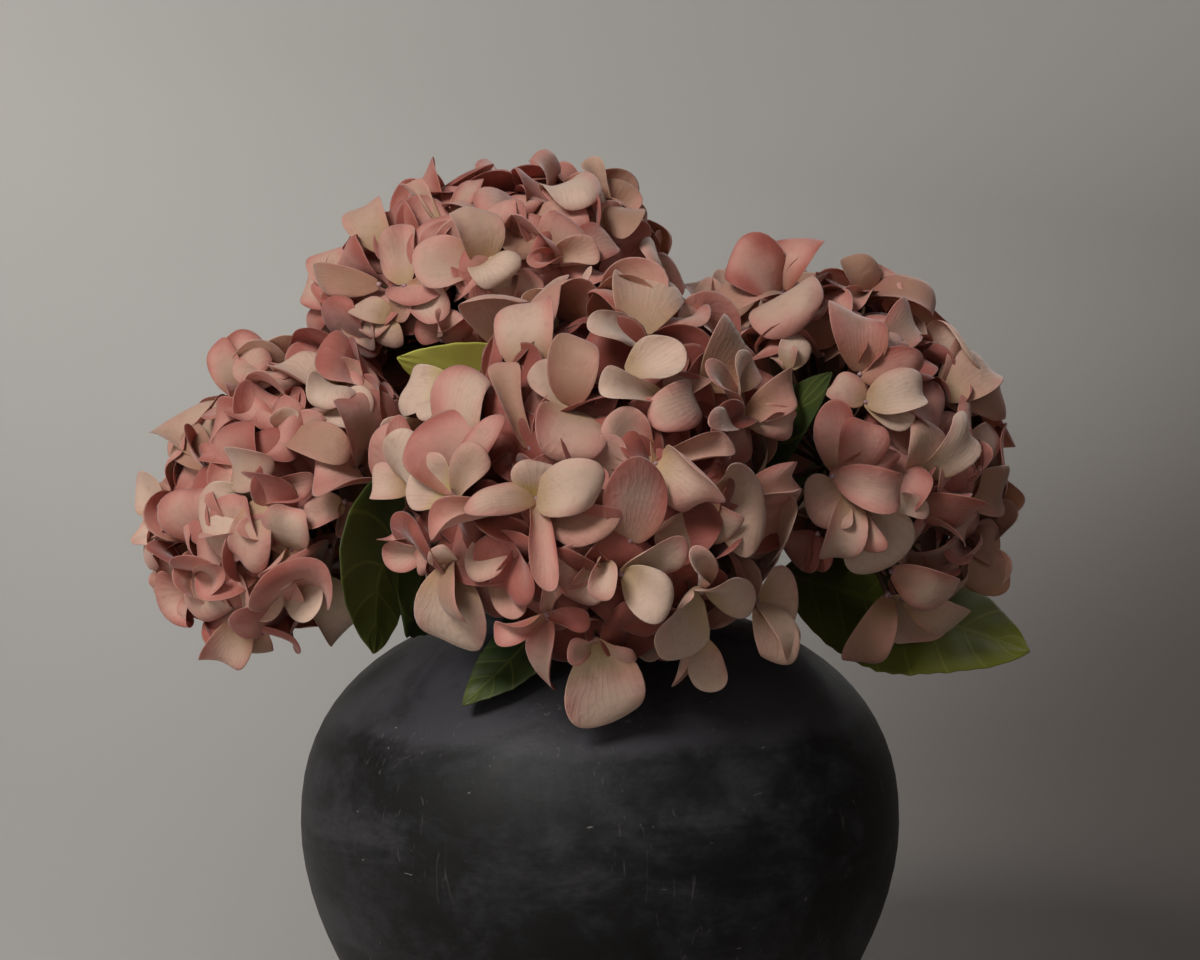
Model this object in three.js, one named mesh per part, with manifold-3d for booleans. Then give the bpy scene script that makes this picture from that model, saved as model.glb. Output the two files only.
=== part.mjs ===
// Five mop-head hydrangeas on leafy stems, standing in a round-bellied dark vase.
// Millimetres, +Z up. The origin is the centre of the vase's foot, on the table. The front is -Y.
import * as THREE from "three";
import { mergeVertices } from "three/addons/utils/BufferGeometryUtils.js";
import Module from "manifold-3d";

const V = (x, y, z) => new THREE.Vector3(x, y, z);
const DEGREE = Math.PI / 180;

// ---- The vase ---------------------------------------------------------------------------
const FOOT_RADIUS = 69;
const BELLY_RADIUS = 126;
const BELLY_HEIGHT = 128;
const SHOULDER_RISE = 91; // from the belly to where the shoulder would close
const SHOULDER_POWER = 2.3; // 2 is an ellipse, more is squarer
const NECK_RADIUS = 55;
const LIP_RADIUS = 59;
const LIP_TOP = 224;
const MOUTH_RADIUS = 49;
const WALL = 7;
const FLOOR_HEIGHT = 9;
const VASE_SIDES = 30;

// ---- The front view -------------------------------------------------------------------------
// It is 1200 columns wide and 960 rows tall. Some points of leaves are given by where they show.
const VIEW_DISTANCE = 1100;
const VIEW_RISE = 4 * DEGREE; // looked at from a little above
const VIEW_CENTRE = V(0, 0, 270.5);
const VIEW_MIDDLE = [600, 480];
const VIEW_STEP = 0.42; // millimetres from one column to the next, at the vase's axis

// ---- Blooms -----------------------------------------------------------------------------------
// across and tall are the radii of the dome that the florets' hearts lie on.
const BLOOMS = [
  {
    name: "front", centre: V(-6, -80, 275), axis: V(0, -0.8, 0.6),
    across: 66, tall: 45, florets: 23, colour: 0xd6a596,
  },
  {
    name: "left", centre: V(-125, -8, 263), axis: V(-0.8, -0.4, 0.45),
    across: 59, tall: 38, florets: 19, colour: 0xcf9c8c,
  },
  {
    name: "right", centre: V(102, 0, 279), axis: V(0.7, -0.65, 0.3),
    across: 64, tall: 40, florets: 21, colour: 0xc98f84,
  },
  {
    name: "top", centre: V(-48, 42, 337), axis: V(-0.25, 0.1, 0.96),
    across: 68, tall: 50, florets: 23, colour: 0xc4938a,
  },
  {
    name: "back", centre: V(76, 82, 292), axis: V(0.35, 0.6, 0.72),
    across: 56, tall: 42, florets: 17, colour: 0xbf8f86,
  },
];
const UNDERSIDE_SHARE = 0.6; // a dome is shallower below its widest ring
const CORE_INSET = 15; // how far the leafy heart of a bloom lies under its florets
const COVERED_TO = 118 * DEGREE; // florets grow this far from the top of the dome
const GOLDEN_TURN = Math.PI * (3 - Math.sqrt(5));

// ---- Florets, of four sepals each ---------------------------------------------------------
const SEPALS = 4;
const SEPAL_REACH = 34; // from the floret's heart to a sepal's tip, across the bloom
const SEPAL_RISE = 17; // how far the tips stand above the heart
const SEPAL_THICKNESS = 0.9;
const NOTCH_RADIUS = 5.5; // where two sepals part
const ROOT_DEPTH = 24; // a floret's stalk reaches this far down into the core

// ---- Room between neighbours ----------------------------------------------------------------
const BLOOM_GAP = 2.2; // from a bloom to the plane that parts it from its neighbour
const VASE_GAP = 4; // from a petal to the vase
const DRAPE_GAP = 1.9; // from a leaf that hangs over the shoulder to the vase
const SOFTNESS = 3.5; // how gently a petal bends away from what it meets

// ---- Stems ------------------------------------------------------------------------------------
// Each climbs from the vase's floor, leans in the mouth and ends in a socket under its bloom.
const STEM_RADIUS = 2.6;
const STEM_SIDES = 6;
const STEM_STEPS = 11;
const SOCKET_GAP = 0.4;
const SOCKET_DEPTH = 7;
const FLOOR_GAP = 0.3;
const STEMS = {
  front: [V(-2, -24, 120), V(-4, -39, 214), V(-4, -46, 236)],
  left: [V(-26, 2, 120), V(-37, 3, 214), V(-62, 4, 240)],
  right: [V(25, 8, 120), V(34, 12, 214), V(60, 16, 246)],
  top: [V(-6, 6, 120), V(-12, 12, 214), V(-25, 26, 262)],
  back: [V(12, 23, 120), V(17, 32, 214), V(40, 54, 250)],
};

// ---- Leaves -----------------------------------------------------------------------------------
// Each grows from the stem of a bloom. It lies in the plane that parts it from a neighbour, in a
// plane of its own under it, or draped over the vase's shoulder. half is half its width.
// rib runs from the stem to the tip; a pair is a column and row of the front view.
const LEAF_THICKNESS = 1.2;
const LEAF_STEPS = 14;
const PETIOLE_SHARE = 0.22; // of the rib's length
const PETIOLE_HALF = 1.7;
const TOOTH_SHARE = 0.12; // how deep the saw teeth cut into a leaf's half width
const LEAF_WAVE = 0.5;
const LEAVES = [
  { bloom: "top", beside: "front", half: 19, rib: [V(-14, 14, 228), V(-34, -4, 268), [428, 352]] },
  { bloom: "left", beside: "front", half: 30, rib: [V(-42, 3, 221), V(-56, -14, 236), [362, 640]] },
  { bloom: "right", beside: "front", half: 24, rib: [V(35, 14, 216), V(30, -12, 246), [832, 372]] },
  {
    bloom: "right", half: 31, rib: [V(52, 15, 236), [860, 596], [1030, 652]],
    plane: { point: V(135, -10, 200), up: V(0.15, -0.6, 0.78) },
  },
  {
    bloom: "left", half: 22, rib: [V(-60, 4, 236), [335, 585], [278, 617]],
    plane: { point: V(-120, -10, 211), up: V(-0.1, -0.5, 0.86) },
  },
  {
    bloom: "front", drape: true, half: 27,
    rib: [V(-4, -41, 222), V(-10, -56, 233), V(-34, -84, 208), V(-57, -94, 188)],
  },
];

const SLIVER = 0.08; // details finer than this are smoothed away where solids are joined

const wasm = await Module();
wasm.setup();

// A closed geometry as a solid that can be joined and cut.
function solidOf(geometry) {
  const bare = geometry.index ? geometry.clone() : geometry;
  bare.deleteAttribute("normal");
  bare.deleteAttribute("uv");
  const merged = mergeVertices(bare, 1e-3);
  return new wasm.Manifold(
    new wasm.Mesh({
      numProp: 3,
      vertProperties: merged.attributes.position.array,
      triVerts: new Uint32Array(merged.index.array),
    }),
  );
}

function meshOf(name, solid, material) {
  const { vertProperties, triVerts } = solid.getMesh();
  const geometry = new THREE.BufferGeometry()
    .setAttribute("position", new THREE.BufferAttribute(vertProperties, 3))
    .setIndex(new THREE.BufferAttribute(triVerts, 1));
  geometry.computeVertexNormals();
  const mesh = new THREE.Mesh(geometry, material);
  mesh.name = name;
  return mesh;
}

// The largest body of a solid, without the slivers: crossing blades can nip off scraps.
function mainBody(solid) {
  const bodies = solid.asOriginal().simplify(SLIVER).decompose();
  return bodies.reduce((kept, body) => (body.volume() > kept.volume() ? body : kept));
}

// A number from 0 to 1 that looks random and is the same on every run.
function chance(bloom, floret, use) {
  const wave = Math.sin(bloom * 127.1 + floret * 311.7 + use * 74.7) * 43758.5453;
  return wave - Math.floor(wave);
}

const mix = (from, to, share) => from + (to - from) * share;

// A thin blade: a sheet of triangles given a thickness across its own normals.
function thicken(points, triangles, outline, thickness) {
  const normals = points.map(() => V(0, 0, 0));
  for (const corners of triangles) {
    const [a, b, c] = corners.map((i) => points[i]);
    const normal = b.clone().sub(a).cross(c.clone().sub(a));
    corners.forEach((i) => normals[i].add(normal));
  }
  const half = thickness / 2;
  const top = points.map((p, i) => p.clone().addScaledVector(normals[i].normalize(), half));
  const bottom = points.map((p, i) => p.clone().addScaledVector(normals[i], -half));
  const under = points.length;
  const index = [];
  for (const [a, b, c] of triangles) {
    index.push(a, b, c, under + a, under + c, under + b);
  }
  outline.forEach((a, i) => {
    const b = outline[(i + 1) % outline.length];
    index.push(a, under + a, under + b, a, under + b, b);
  });
  return { corners: [...top, ...bottom], index };
}

function geometryOf({ corners, index }) {
  return new THREE.BufferGeometry().setFromPoints(corners).setIndex(index);
}

// ---- What shows where -----------------------------------------------------------------------
const bloomNamed = (name) => BLOOMS.find((bloom) => bloom.name === name);

// The line of sight through a column and row of the front view.
function sightLine([column, row]) {
  const up = V(0, Math.sin(VIEW_RISE), Math.cos(VIEW_RISE));
  const ahead = V(0, Math.cos(VIEW_RISE), -Math.sin(VIEW_RISE));
  const eye = VIEW_CENTRE.clone().addScaledVector(ahead, -VIEW_DISTANCE);
  const ray = ahead.multiplyScalar(VIEW_DISTANCE)
    .addScaledVector(V(1, 0, 0), (column - VIEW_MIDDLE[0]) * VIEW_STEP)
    .addScaledVector(up, (VIEW_MIDDLE[1] - row) * VIEW_STEP);
  return { eye, ray };
}

// Turns the bloom's own frame, whose Z is its axis, into the part's.
function bloomTurn(bloom) {
  return new THREE.Quaternion().setFromUnitVectors(V(0, 0, 1), bloom.axis.clone().normalize());
}

// The point of the dome in a direction of the bloom's own frame, and the outward normal there.
function onDome(bloom, direction) {
  const tall = direction.z < 0 ? bloom.tall * UNDERSIDE_SHARE : bloom.tall;
  const { across } = bloom;
  const length = 1 / Math.hypot(direction.x / across, direction.y / across, direction.z / tall);
  const point = direction.clone().multiplyScalar(length);
  const normal = V(point.x / across ** 2, point.y / across ** 2, point.z / tall ** 2).normalize();
  return { point, normal, direction };
}

// ---- Bending clear of neighbours ------------------------------------------------------------

// Keeps a distance above the gap, and leaves it as it is where there is room.
function eased(distance, gap) {
  const over = (distance - gap) / SOFTNESS;
  return gap + SOFTNESS * (over > 20 ? over : Math.log1p(Math.exp(over)));
}

// The plane between two blooms, shared out by their sizes, that faces the first.
function partingPlane(bloom, other) {
  const towards = other.centre.clone().sub(bloom.centre);
  const share = bloom.across / (bloom.across + other.across);
  const point = bloom.centre.clone().addScaledVector(towards, share);
  return new THREE.Plane().setFromNormalAndCoplanarPoint(towards.negate().normalize(), point);
}

// The plane that a leaf lies in, or nothing for one that is draped.
function leafPlane({ bloom, beside, plane }) {
  if (beside) return partingPlane(bloomNamed(bloom), bloomNamed(beside));
  if (!plane) return null;
  return new THREE.Plane().setFromNormalAndCoplanarPoint(plane.up.clone().normalize(), plane.point);
}

// All the planes that a bloom keeps clear of.
function planesRound(bloom) {
  return [
    ...BLOOMS.filter((other) => other !== bloom).map((other) => partingPlane(bloom, other)),
    ...LEAVES.filter((leaf) => leaf.plane && leaf.bloom === bloom.name).map(leafPlane),
  ];
}

// Moves a point off the belly and shoulder and then off the lip. A draped leaf lies on them.
function bendClearOfVase(point, gap, drape = false) {
  const hulls = [
    { middle: BELLY_HEIGHT, wide: BELLY_RADIUS, high: SHOULDER_RISE + 5, power: SHOULDER_POWER },
    { middle: LIP_TOP - 20, wide: LIP_RADIUS + 9, high: 25, power: 3 },
  ];
  return hulls.reduce((at, { middle, wide, high, power }, i) => {
    const out = at.clone().setZ(at.z - middle);
    const beside = Math.hypot(out.x, out.y) / (wide + gap);
    const above = Math.abs(out.z) / (high + gap);
    const skin = out.length() / (beside ** power + above ** power) ** (1 / power);
    const free = out.length() - skin;
    const kept = drape ? Math.max(0, i && free) : eased(free, 0);
    return out.setLength(skin + kept).setZ(out.z + middle);
  }, point);
}

// Bends a point of a bloom clear of its neighbours, the leaves under it and the vase.
function bendClear(point, planes) {
  let bent = point.clone();
  for (let pass = 0; pass < 2; pass += 1) {
    for (const plane of planes) {
      const distance = plane.distanceToPoint(bent);
      bent.addScaledVector(plane.normal, eased(distance, BLOOM_GAP) - distance);
    }
    bent = bendClearOfVase(bent, VASE_GAP);
  }
  return bent;
}

// ---- Blooms -----------------------------------------------------------------------------------

// The florets' hearts, on a spiral that shares out the dome evenly.
function floretPlaces(bloom) {
  return Array.from({ length: bloom.florets }, (_, i) => {
    const up = mix(1, Math.cos(COVERED_TO), (i + 0.5) / bloom.florets);
    const out = Math.sqrt(1 - up * up);
    const turn = i * GOLDEN_TURN;
    return onDome(bloom, V(out * Math.cos(turn), out * Math.sin(turn), up));
  });
}

// A point of a sepal, by its distance from the heart as a share, and its angle off the middle.
function sepalPoint(sepal, share, angle) {
  const reach = sepal.reach * share;
  const rise = sepal.rise * Math.sin(share * sepal.arch) / Math.sin(sepal.arch);
  const edge = sepal.cup * reach * (1 - Math.cos(angle * 2));
  return V(reach * Math.cos(angle), reach * Math.sin(angle), rise + edge);
}

// The size and curl of one sepal, drawn for it alone.
function sepalShape(seed, floret, number) {
  const draw = (use) => chance(seed, floret * SEPALS + number, use);
  const shut = chance(seed, floret, 1);
  return {
    reach: SEPAL_REACH * mix(1.06, 0.8, shut) * mix(0.92, 1.08, draw(2)),
    rise: SEPAL_RISE * mix(0.45, 1.35, shut) * mix(0.8, 1.2, draw(3)),
    arch: mix(1.3, 2.1, draw(4)),
    cup: mix(-0.18, 0.34, draw(6)),
  };
}

// One floret as one closed body: four sepals round a heart, on a stalk that tapers into the core.
function floretSolid(bloom, seed, number, place, planes) {
  const turn = bloomTurn(bloom);
  const origin = place.point.clone().applyQuaternion(turn).add(bloom.centre);
  const up = place.normal.clone().add(place.direction).normalize().applyQuaternion(turn);
  const side = V(0, 0, 1).cross(up).normalize();
  const ahead = up.clone().cross(side);
  const spin = chance(seed, number, 5) * Math.PI / 2;
  const inPlace = (local, angle) => {
    const x = local.x * Math.cos(angle) - local.y * Math.sin(angle);
    const y = local.x * Math.sin(angle) + local.y * Math.cos(angle);
    const point = origin.clone().addScaledVector(side, x).addScaledVector(ahead, y);
    return bendClear(point.addScaledVector(up, local.z), planes);
  };

  const points = [inPlace(V(0, 0, 1), 0)];
  const triangles = [];
  const outline = [];
  const PER_SEPAL = 5;
  const first = (sepal) => 1 + (sepal % SEPALS) * PER_SEPAL;
  for (let i = 0; i < SEPALS; i += 1) {
    const angle = spin + (i * 2 * Math.PI) / SEPALS;
    const shape = sepalShape(seed, number, i);
    points.push(
      inPlace(V(NOTCH_RADIUS, 0, 3.5), angle - Math.PI / SEPALS),
      ...[[0.76, -37], [1, 0], [0.76, 37], [0.55, 0]].map(([share, degrees]) =>
        inPlace(sepalPoint(shape, share, degrees * DEGREE), angle)),
    );
    const notch = first(i);
    const [right, tip, left, middle] = [1, 2, 3, 4].map((n) => notch + n);
    const nextNotch = first(i + 1);
    triangles.push(
      [0, notch, middle], [notch, right, middle], [0, middle, nextNotch],
      [middle, left, nextNotch], [right, tip, middle], [tip, left, middle],
    );
    outline.push(notch, right, tip, left);
  }
  const blade = thicken(points, triangles, outline, SEPAL_THICKNESS);
  blade.corners[points.length] = bendClear(origin.clone().addScaledVector(up, -ROOT_DEPTH), planes);
  return solidOf(geometryOf(blade));
}

// The rounded heart of a bloom, which stands in for its branching stalks.
function coreSolid(bloom, planes) {
  const ball = new THREE.IcosahedronGeometry(1, 1);
  const turn = bloomTurn(bloom);
  const corner = V(0, 0, 0);
  const at = ball.attributes.position;
  for (let i = 0; i < at.count; i += 1) {
    corner.fromBufferAttribute(at, i);
    const tall = (bloom.tall - CORE_INSET) * (corner.z < 0 ? UNDERSIDE_SHARE : 1);
    const across = bloom.across - CORE_INSET;
    corner.multiply(V(across, across, tall)).applyQuaternion(turn).add(bloom.centre);
    at.setXYZ(i, ...bendClear(corner, planes));
  }
  return solidOf(ball);
}

function bloomSolid(bloom, seed) {
  const planes = planesRound(bloom);
  const florets = floretPlaces(bloom).map((place, i) => floretSolid(bloom, seed, i, place, planes));
  const whole = wasm.Manifold.union([coreSolid(bloom, planes), ...florets]);
  const socket = tubeSolid(stemPath(bloom, SOCKET_GAP), STEM_RADIUS + SOCKET_GAP);
  return mainBody(whole.subtract(socket));
}

// ---- Stems ------------------------------------------------------------------------------------

// From the vase's floor to a socket in the underside of the bloom's core.
function stemPath(bloom, beyond) {
  const [low, rim, bend] = STEMS[bloom.name];
  const under = (bloom.tall - CORE_INSET) * UNDERSIDE_SHARE;
  const axis = bloom.axis.clone().normalize();
  const seat = bloom.centre.clone().addScaledVector(axis, -under);
  const end = seat.clone().addScaledVector(axis, SOCKET_DEPTH + beyond);
  const foot = V(low.x * 0.9, low.y * 0.9, FLOOR_HEIGHT + FLOOR_GAP);
  return new THREE.CatmullRomCurve3([foot, low, rim, bend, seat, end], false, "centripetal");
}

// A round rod along a path.
function tubeSolid(path, radius) {
  const round = new THREE.Shape();
  for (let i = 0; i < STEM_SIDES; i += 1) {
    const angle = (i * 2 * Math.PI) / STEM_SIDES;
    round[i ? "lineTo" : "moveTo"](radius * Math.cos(angle), radius * Math.sin(angle));
  }
  const extrude = { steps: STEM_STEPS, extrudePath: path, bevelEnabled: false };
  return solidOf(new THREE.ExtrudeGeometry(round, extrude));
}

// ---- Leaves -----------------------------------------------------------------------------------

// A leaf as a thin blade with a saw-toothed edge, on a petiole whose root is inside the stem.
function leafSolid(leaf, seed) {
  const plane = leafPlane(leaf);
  const onRib = leaf.rib.map((p) => {
    if (p.isVector3) return p;
    const { eye, ray } = sightLine(p);
    const sight = new THREE.Line3(eye, eye.clone().addScaledVector(ray, 2));
    return plane.intersectLine(sight, V(0, 0, 0));
  });
  const rib = new THREE.CatmullRomCurve3(onRib, false, "centripetal");
  const points = [];
  const triangles = [];
  const left = [];
  const right = [];
  for (let i = 0; i <= LEAF_STEPS; i += 1) {
    const along = i / LEAF_STEPS;
    const middle = rib.getPointAt(along);
    const forward = rib.getTangentAt(along);
    const up = plane ? plane.normal.clone() : middle.clone().sub(V(0, 0, BELLY_HEIGHT)).normalize();
    const out = forward.clone().cross(up).normalize();
    const blade = Math.max(0, (along - PETIOLE_SHARE) / (1 - PETIOLE_SHARE));
    const tooth = 1 - TOOTH_SHARE * (i % 2);
    const body = leaf.half * Math.sin(Math.PI * blade ** 0.8) ** 0.75 * tooth;
    const half = Math.max(body, along < 0.9 ? PETIOLE_HALF : 0.6);
    const wave = blade > 0 ? LEAF_WAVE * Math.sin(i * 1.9 + seed) : 0;
    [[-half, wave], [0, 0], [half, -wave]].forEach(([across, lift]) => {
      let point = middle.clone().addScaledVector(out, across);
      if (plane && blade > 0.25) plane.projectPoint(point.clone(), point);
      if (along > 0.15) point = bendClearOfVase(point, DRAPE_GAP, leaf.drape);
      points.push(point.addScaledVector(up, lift));
    });
    const at = i * 3;
    right.push(at);
    left.push(at + 2);
    if (i) {
      triangles.push(
        [at - 3, at - 2, at], [at - 2, at + 1, at], [at - 2, at - 1, at + 1],
        [at - 1, at + 2, at + 1],
      );
    }
  }
  const outline = [...left.reverse(), 1, ...right, LEAF_STEPS * 3 + 1];
  return solidOf(geometryOf(thicken(points, triangles, outline.reverse(), LEAF_THICKNESS)));
}

function stemSolid(bloom) {
  const leaves = LEAVES.filter((leaf) => leaf.bloom === bloom.name).map(leafSolid);
  return mainBody(wasm.Manifold.union([tubeSolid(stemPath(bloom, 0), STEM_RADIUS), ...leaves]));
}

// ---- The vase -----------------------------------------------------------------------------------

// Radius and height pairs up the outside of the belly and shoulder, or a wall's thickness within.
function vaseSide(inset, steps) {
  const foot = new THREE.CubicBezierCurve(
    new THREE.Vector2(FOOT_RADIUS - inset, 0),
    new THREE.Vector2(FOOT_RADIUS + 26 - inset, 45),
    new THREE.Vector2(BELLY_RADIUS - inset, 84),
    new THREE.Vector2(BELLY_RADIUS - inset, BELLY_HEIGHT),
  );
  const side = foot.getPoints(steps);
  const reach = BELLY_RADIUS - inset;
  const rise = SHOULDER_RISE - inset;
  const neck = (inset > 0 ? MOUTH_RADIUS : NECK_RADIUS) / reach;
  const last = Math.acos(neck ** (SHOULDER_POWER / 2));
  for (let i = 1; i <= steps; i += 1) {
    const angle = (last * i) / steps;
    const out = Math.cos(angle) ** (2 / SHOULDER_POWER);
    const up = Math.sin(angle) ** (2 / SHOULDER_POWER);
    side.push(new THREE.Vector2(reach * out, BELLY_HEIGHT + rise * up));
  }
  return side;
}

function vaseSolid() {
  const lip = [
    [LIP_RADIUS - 1, LIP_TOP - 7],
    [LIP_RADIUS, LIP_TOP - 3],
    [LIP_RADIUS - 3, LIP_TOP],
    [MOUTH_RADIUS + 2, LIP_TOP],
    [MOUTH_RADIUS, LIP_TOP - 3],
  ].map(([out, up]) => new THREE.Vector2(out, up));
  const inside = vaseSide(WALL, 4).filter((p) => p.y > FLOOR_HEIGHT).reverse();
  const profile = [
    new THREE.Vector2(0, 0),
    ...vaseSide(0, 5),
    ...lip,
    ...inside,
    new THREE.Vector2(FOOT_RADIUS - WALL, FLOOR_HEIGHT),
    new THREE.Vector2(0, FLOOR_HEIGHT),
  ];
  return solidOf(new THREE.LatheGeometry(profile, VASE_SIDES).rotateX(Math.PI / 2));
}

// ---- Assembly -----------------------------------------------------------------------------------
const matt = (color, roughness) => new THREE.MeshStandardMaterial({ color, roughness, metalness: 0 });

const bunch = new THREE.Group();
bunch.add(meshOf("vase", vaseSolid(), matt(0x2b2a2b, 0.6)));
BLOOMS.forEach((bloom, i) => {
  bunch.add(meshOf(`bloom_${bloom.name}`, bloomSolid(bloom, i + 1), matt(bloom.colour, 0.85)));
  bunch.add(meshOf(`stem_${bloom.name}`, stemSolid(bloom), matt(0x4a5a33, 0.6)));
});

export default bunch;
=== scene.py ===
# %% [markdown]
# # Hydrangeas in a vase
#
# Five mop-head hydrangeas made of cloth stand in a round-bellied dark vase. This lesson rebuilds
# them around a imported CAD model: the frame says where everything is, and each step replaces a
# plain solid by a piece with the real shape and finish. All lengths are in metres, +Z is up, the
# front is -Y, and the origin is the middle of the vase's foot.

import math
import random

import bmesh
import bpy
from mathutils import Matrix, Vector, noise
from mathutils.geometry import intersect_line_plane


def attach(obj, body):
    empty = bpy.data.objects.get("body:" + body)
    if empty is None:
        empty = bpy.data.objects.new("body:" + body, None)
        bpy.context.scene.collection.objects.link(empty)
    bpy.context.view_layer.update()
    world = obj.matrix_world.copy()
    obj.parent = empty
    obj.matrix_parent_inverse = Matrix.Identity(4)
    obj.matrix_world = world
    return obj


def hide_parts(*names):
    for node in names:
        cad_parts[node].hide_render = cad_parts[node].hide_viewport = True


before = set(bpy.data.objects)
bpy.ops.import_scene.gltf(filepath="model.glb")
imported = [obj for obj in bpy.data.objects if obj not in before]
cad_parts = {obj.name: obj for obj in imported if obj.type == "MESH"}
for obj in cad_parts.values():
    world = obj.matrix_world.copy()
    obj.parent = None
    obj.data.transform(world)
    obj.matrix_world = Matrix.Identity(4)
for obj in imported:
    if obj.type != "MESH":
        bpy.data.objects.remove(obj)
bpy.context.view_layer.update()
MM = 0.001
Z_AXIS = Vector((0, 0, 1))


# %% [markdown]
# ## Heads and where they sit
#
# A mop head is a dome of florets. Its shape is an ellipsoid that reaches `across` to each side of
# its middle and `tall` upwards, is shallower underneath, and leans out of the vase along its
# `axis`. The five domes are the ones that the CAD model has. Here they are named values in
# millimetres, which the loop below makes metres.

# %% The five heads
BLOOMS = {
    "front": {"centre": (-6, -80, 275), "axis": (0, -0.8, 0.6), "across": 66, "tall": 45},
    "left": {"centre": (-125, -8, 263), "axis": (-0.8, -0.4, 0.45), "across": 59, "tall": 38},
    "right": {"centre": (102, 0, 279), "axis": (0.7, -0.65, 0.3), "across": 64, "tall": 40},
    "top": {"centre": (-48, 42, 337), "axis": (-0.25, 0.1, 0.96), "across": 68, "tall": 50},
    "back": {"centre": (76, 82, 292), "axis": (0.35, 0.6, 0.72), "across": 56, "tall": 42},
}
UNDERSIDE_SHARE = 0.6
for bloom in BLOOMS.values():
    bloom["centre"] = Vector(bloom["centre"]) * MM
    bloom["axis"] = Vector(bloom["axis"]).normalized()
    bloom["across"] *= MM
    bloom["tall"] *= MM
    bloom["turn"] = Z_AXIS.rotation_difference(bloom["axis"])


def on_dome(bloom, direction):
    """The point of the dome in a direction of the head's own frame, and the outward normal there."""
    across = bloom["across"]
    tall = bloom["tall"] * (UNDERSIDE_SHARE if direction.z < 0 else 1)
    share = Vector((direction.x / across, direction.y / across, direction.z / tall)).length
    point = direction / share
    normal = Vector((point.x / across**2, point.y / across**2, point.z / tall**2))
    outward = (normal.normalized() + direction.normalized()).normalized()
    return bloom["centre"] + bloom["turn"] @ point, bloom["turn"] @ outward


# %% [markdown]
# ## The front view
#
# Some florets are placed by where they show in the front view, a column and a row of a picture
# 1200 wide and 960 tall. The camera stands a little higher than the middle of the flowers and
# looks down by four degrees. A step from one column to the next is 0.42 mm at the vase's axis.

# %% Camera
VIEW_DISTANCE = 1.1
VIEW_RISE = math.radians(4)
VIEW_CENTRE = Vector((0, 0, 0.2705))
VIEW_MIDDLE = (600, 480)
VIEW_COLUMNS = 1200
VIEW_STEP = 0.42 * MM
AHEAD = Vector((0, math.cos(VIEW_RISE), -math.sin(VIEW_RISE)))
UPWARD = Vector((0, math.sin(VIEW_RISE), math.cos(VIEW_RISE)))
EYE = VIEW_CENTRE - AHEAD * VIEW_DISTANCE

camera_data = bpy.data.cameras.new("front_view")
camera_data.sensor_width = 36
camera_data.lens = camera_data.sensor_width * VIEW_DISTANCE / (VIEW_COLUMNS * VIEW_STEP)
camera = bpy.data.objects.new("front_view", camera_data)
camera.location = EYE
camera.rotation_euler = (math.pi / 2 - VIEW_RISE, 0, 0)
bpy.context.scene.collection.objects.link(camera)
bpy.context.scene.camera = camera
print(f"the camera has a {camera_data.lens:.1f} mm lens")


# %% What shows where
def sight(pixel):
    """The direction in which the camera sees a column and row."""
    right = (pixel[0] - VIEW_MIDDLE[0]) * VIEW_STEP
    up = (VIEW_MIDDLE[1] - pixel[1]) * VIEW_STEP
    return AHEAD * VIEW_DISTANCE + Vector((right, 0, 0)) + UPWARD * up


def seen_on_dome(bloom, pixel, proud=0.0):
    """The near point of a head's dome, swollen by proud, that shows at a column and row.
    Where the line of sight passes the dome, it is the point of the line that is nearest to it."""
    back = bloom["turn"].inverted()
    across, tall = bloom["across"] + proud, bloom["tall"] + proud
    scale = Vector((1 / across, 1 / across, 1 / tall))
    start = (back @ (EYE - bloom["centre"])) * scale
    ray = (back @ sight(pixel)) * scale
    a, b, c = ray.dot(ray), start.dot(ray), start.dot(start) - 1
    share = (-b - math.sqrt(max(0, b * b - a * c))) / a
    return EYE + sight(pixel) * share


# %% [markdown]
# ## Room between neighbours
#
# Cloth petals give way where they meet something. A point that comes too near to the plane that
# parts two heads, to a leaf or to the vase is moved away from it, the more the nearer it is, so
# a petal bends instead of crossing. `eased` is that soft stop: far away it changes nothing.

# %% Bending clear
SOFTNESS = 3.5 * MM
BLOOM_GAP = 1.4 * MM
VASE_GAP = 3.5 * MM
FARTHEST_EASED = 20  # softnesses, past which the stop changes nothing
BELLY_HEIGHT = 128
BELLY_RADIUS = 126
# A point and the normal of the plane that a leaf lies in under its head
LEAF_PLANES = {
    "right": (Vector((135, -10, 200)) * MM, Vector((0.15, -0.6, 0.78)).normalized()),
    "left": (Vector((-120, -10, 211)) * MM, Vector((-0.1, -0.5, 0.86)).normalized()),
}
# The belly and the lip as rounded hulls: middle height, radius, half height and squareness
VASE_HULLS = [(BELLY_HEIGHT, BELLY_RADIUS, 96, 2.3), (204, 68, 25, 3)]


def eased(distance, gap):
    """A distance that never falls below the gap."""
    over = (distance - gap) / SOFTNESS
    return gap + SOFTNESS * (over if over > FARTHEST_EASED else math.log1p(math.exp(over)))


def parting_plane(name, other):
    """A point and normal of the plane between two heads. The normal points at the first."""
    first, second = BLOOMS[name], BLOOMS[other]
    between = second["centre"] - first["centre"]
    share = first["across"] / (first["across"] + second["across"])
    return first["centre"] + between * share, -between.normalized()


def planes_round(name):
    """The planes that a head keeps clear of."""
    planes = [parting_plane(name, other) for other in BLOOMS if other != name]
    if name in LEAF_PLANES:
        planes.append(LEAF_PLANES[name])
    return planes


def clear_of_vase(point, gap):
    """The point, moved off the belly, the shoulder and the lip."""
    for middle, wide, high, power in VASE_HULLS:
        out = point - Z_AXIS * middle * MM
        beside = math.hypot(out.x, out.y) / (wide * MM + gap)
        above = abs(out.z) / (high * MM + gap)
        skin = out.length / (beside**power + above**power) ** (1 / power)
        kept = skin + eased(out.length - skin, 0)
        point = out.normalized() * kept + Z_AXIS * middle * MM
    return point


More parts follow.
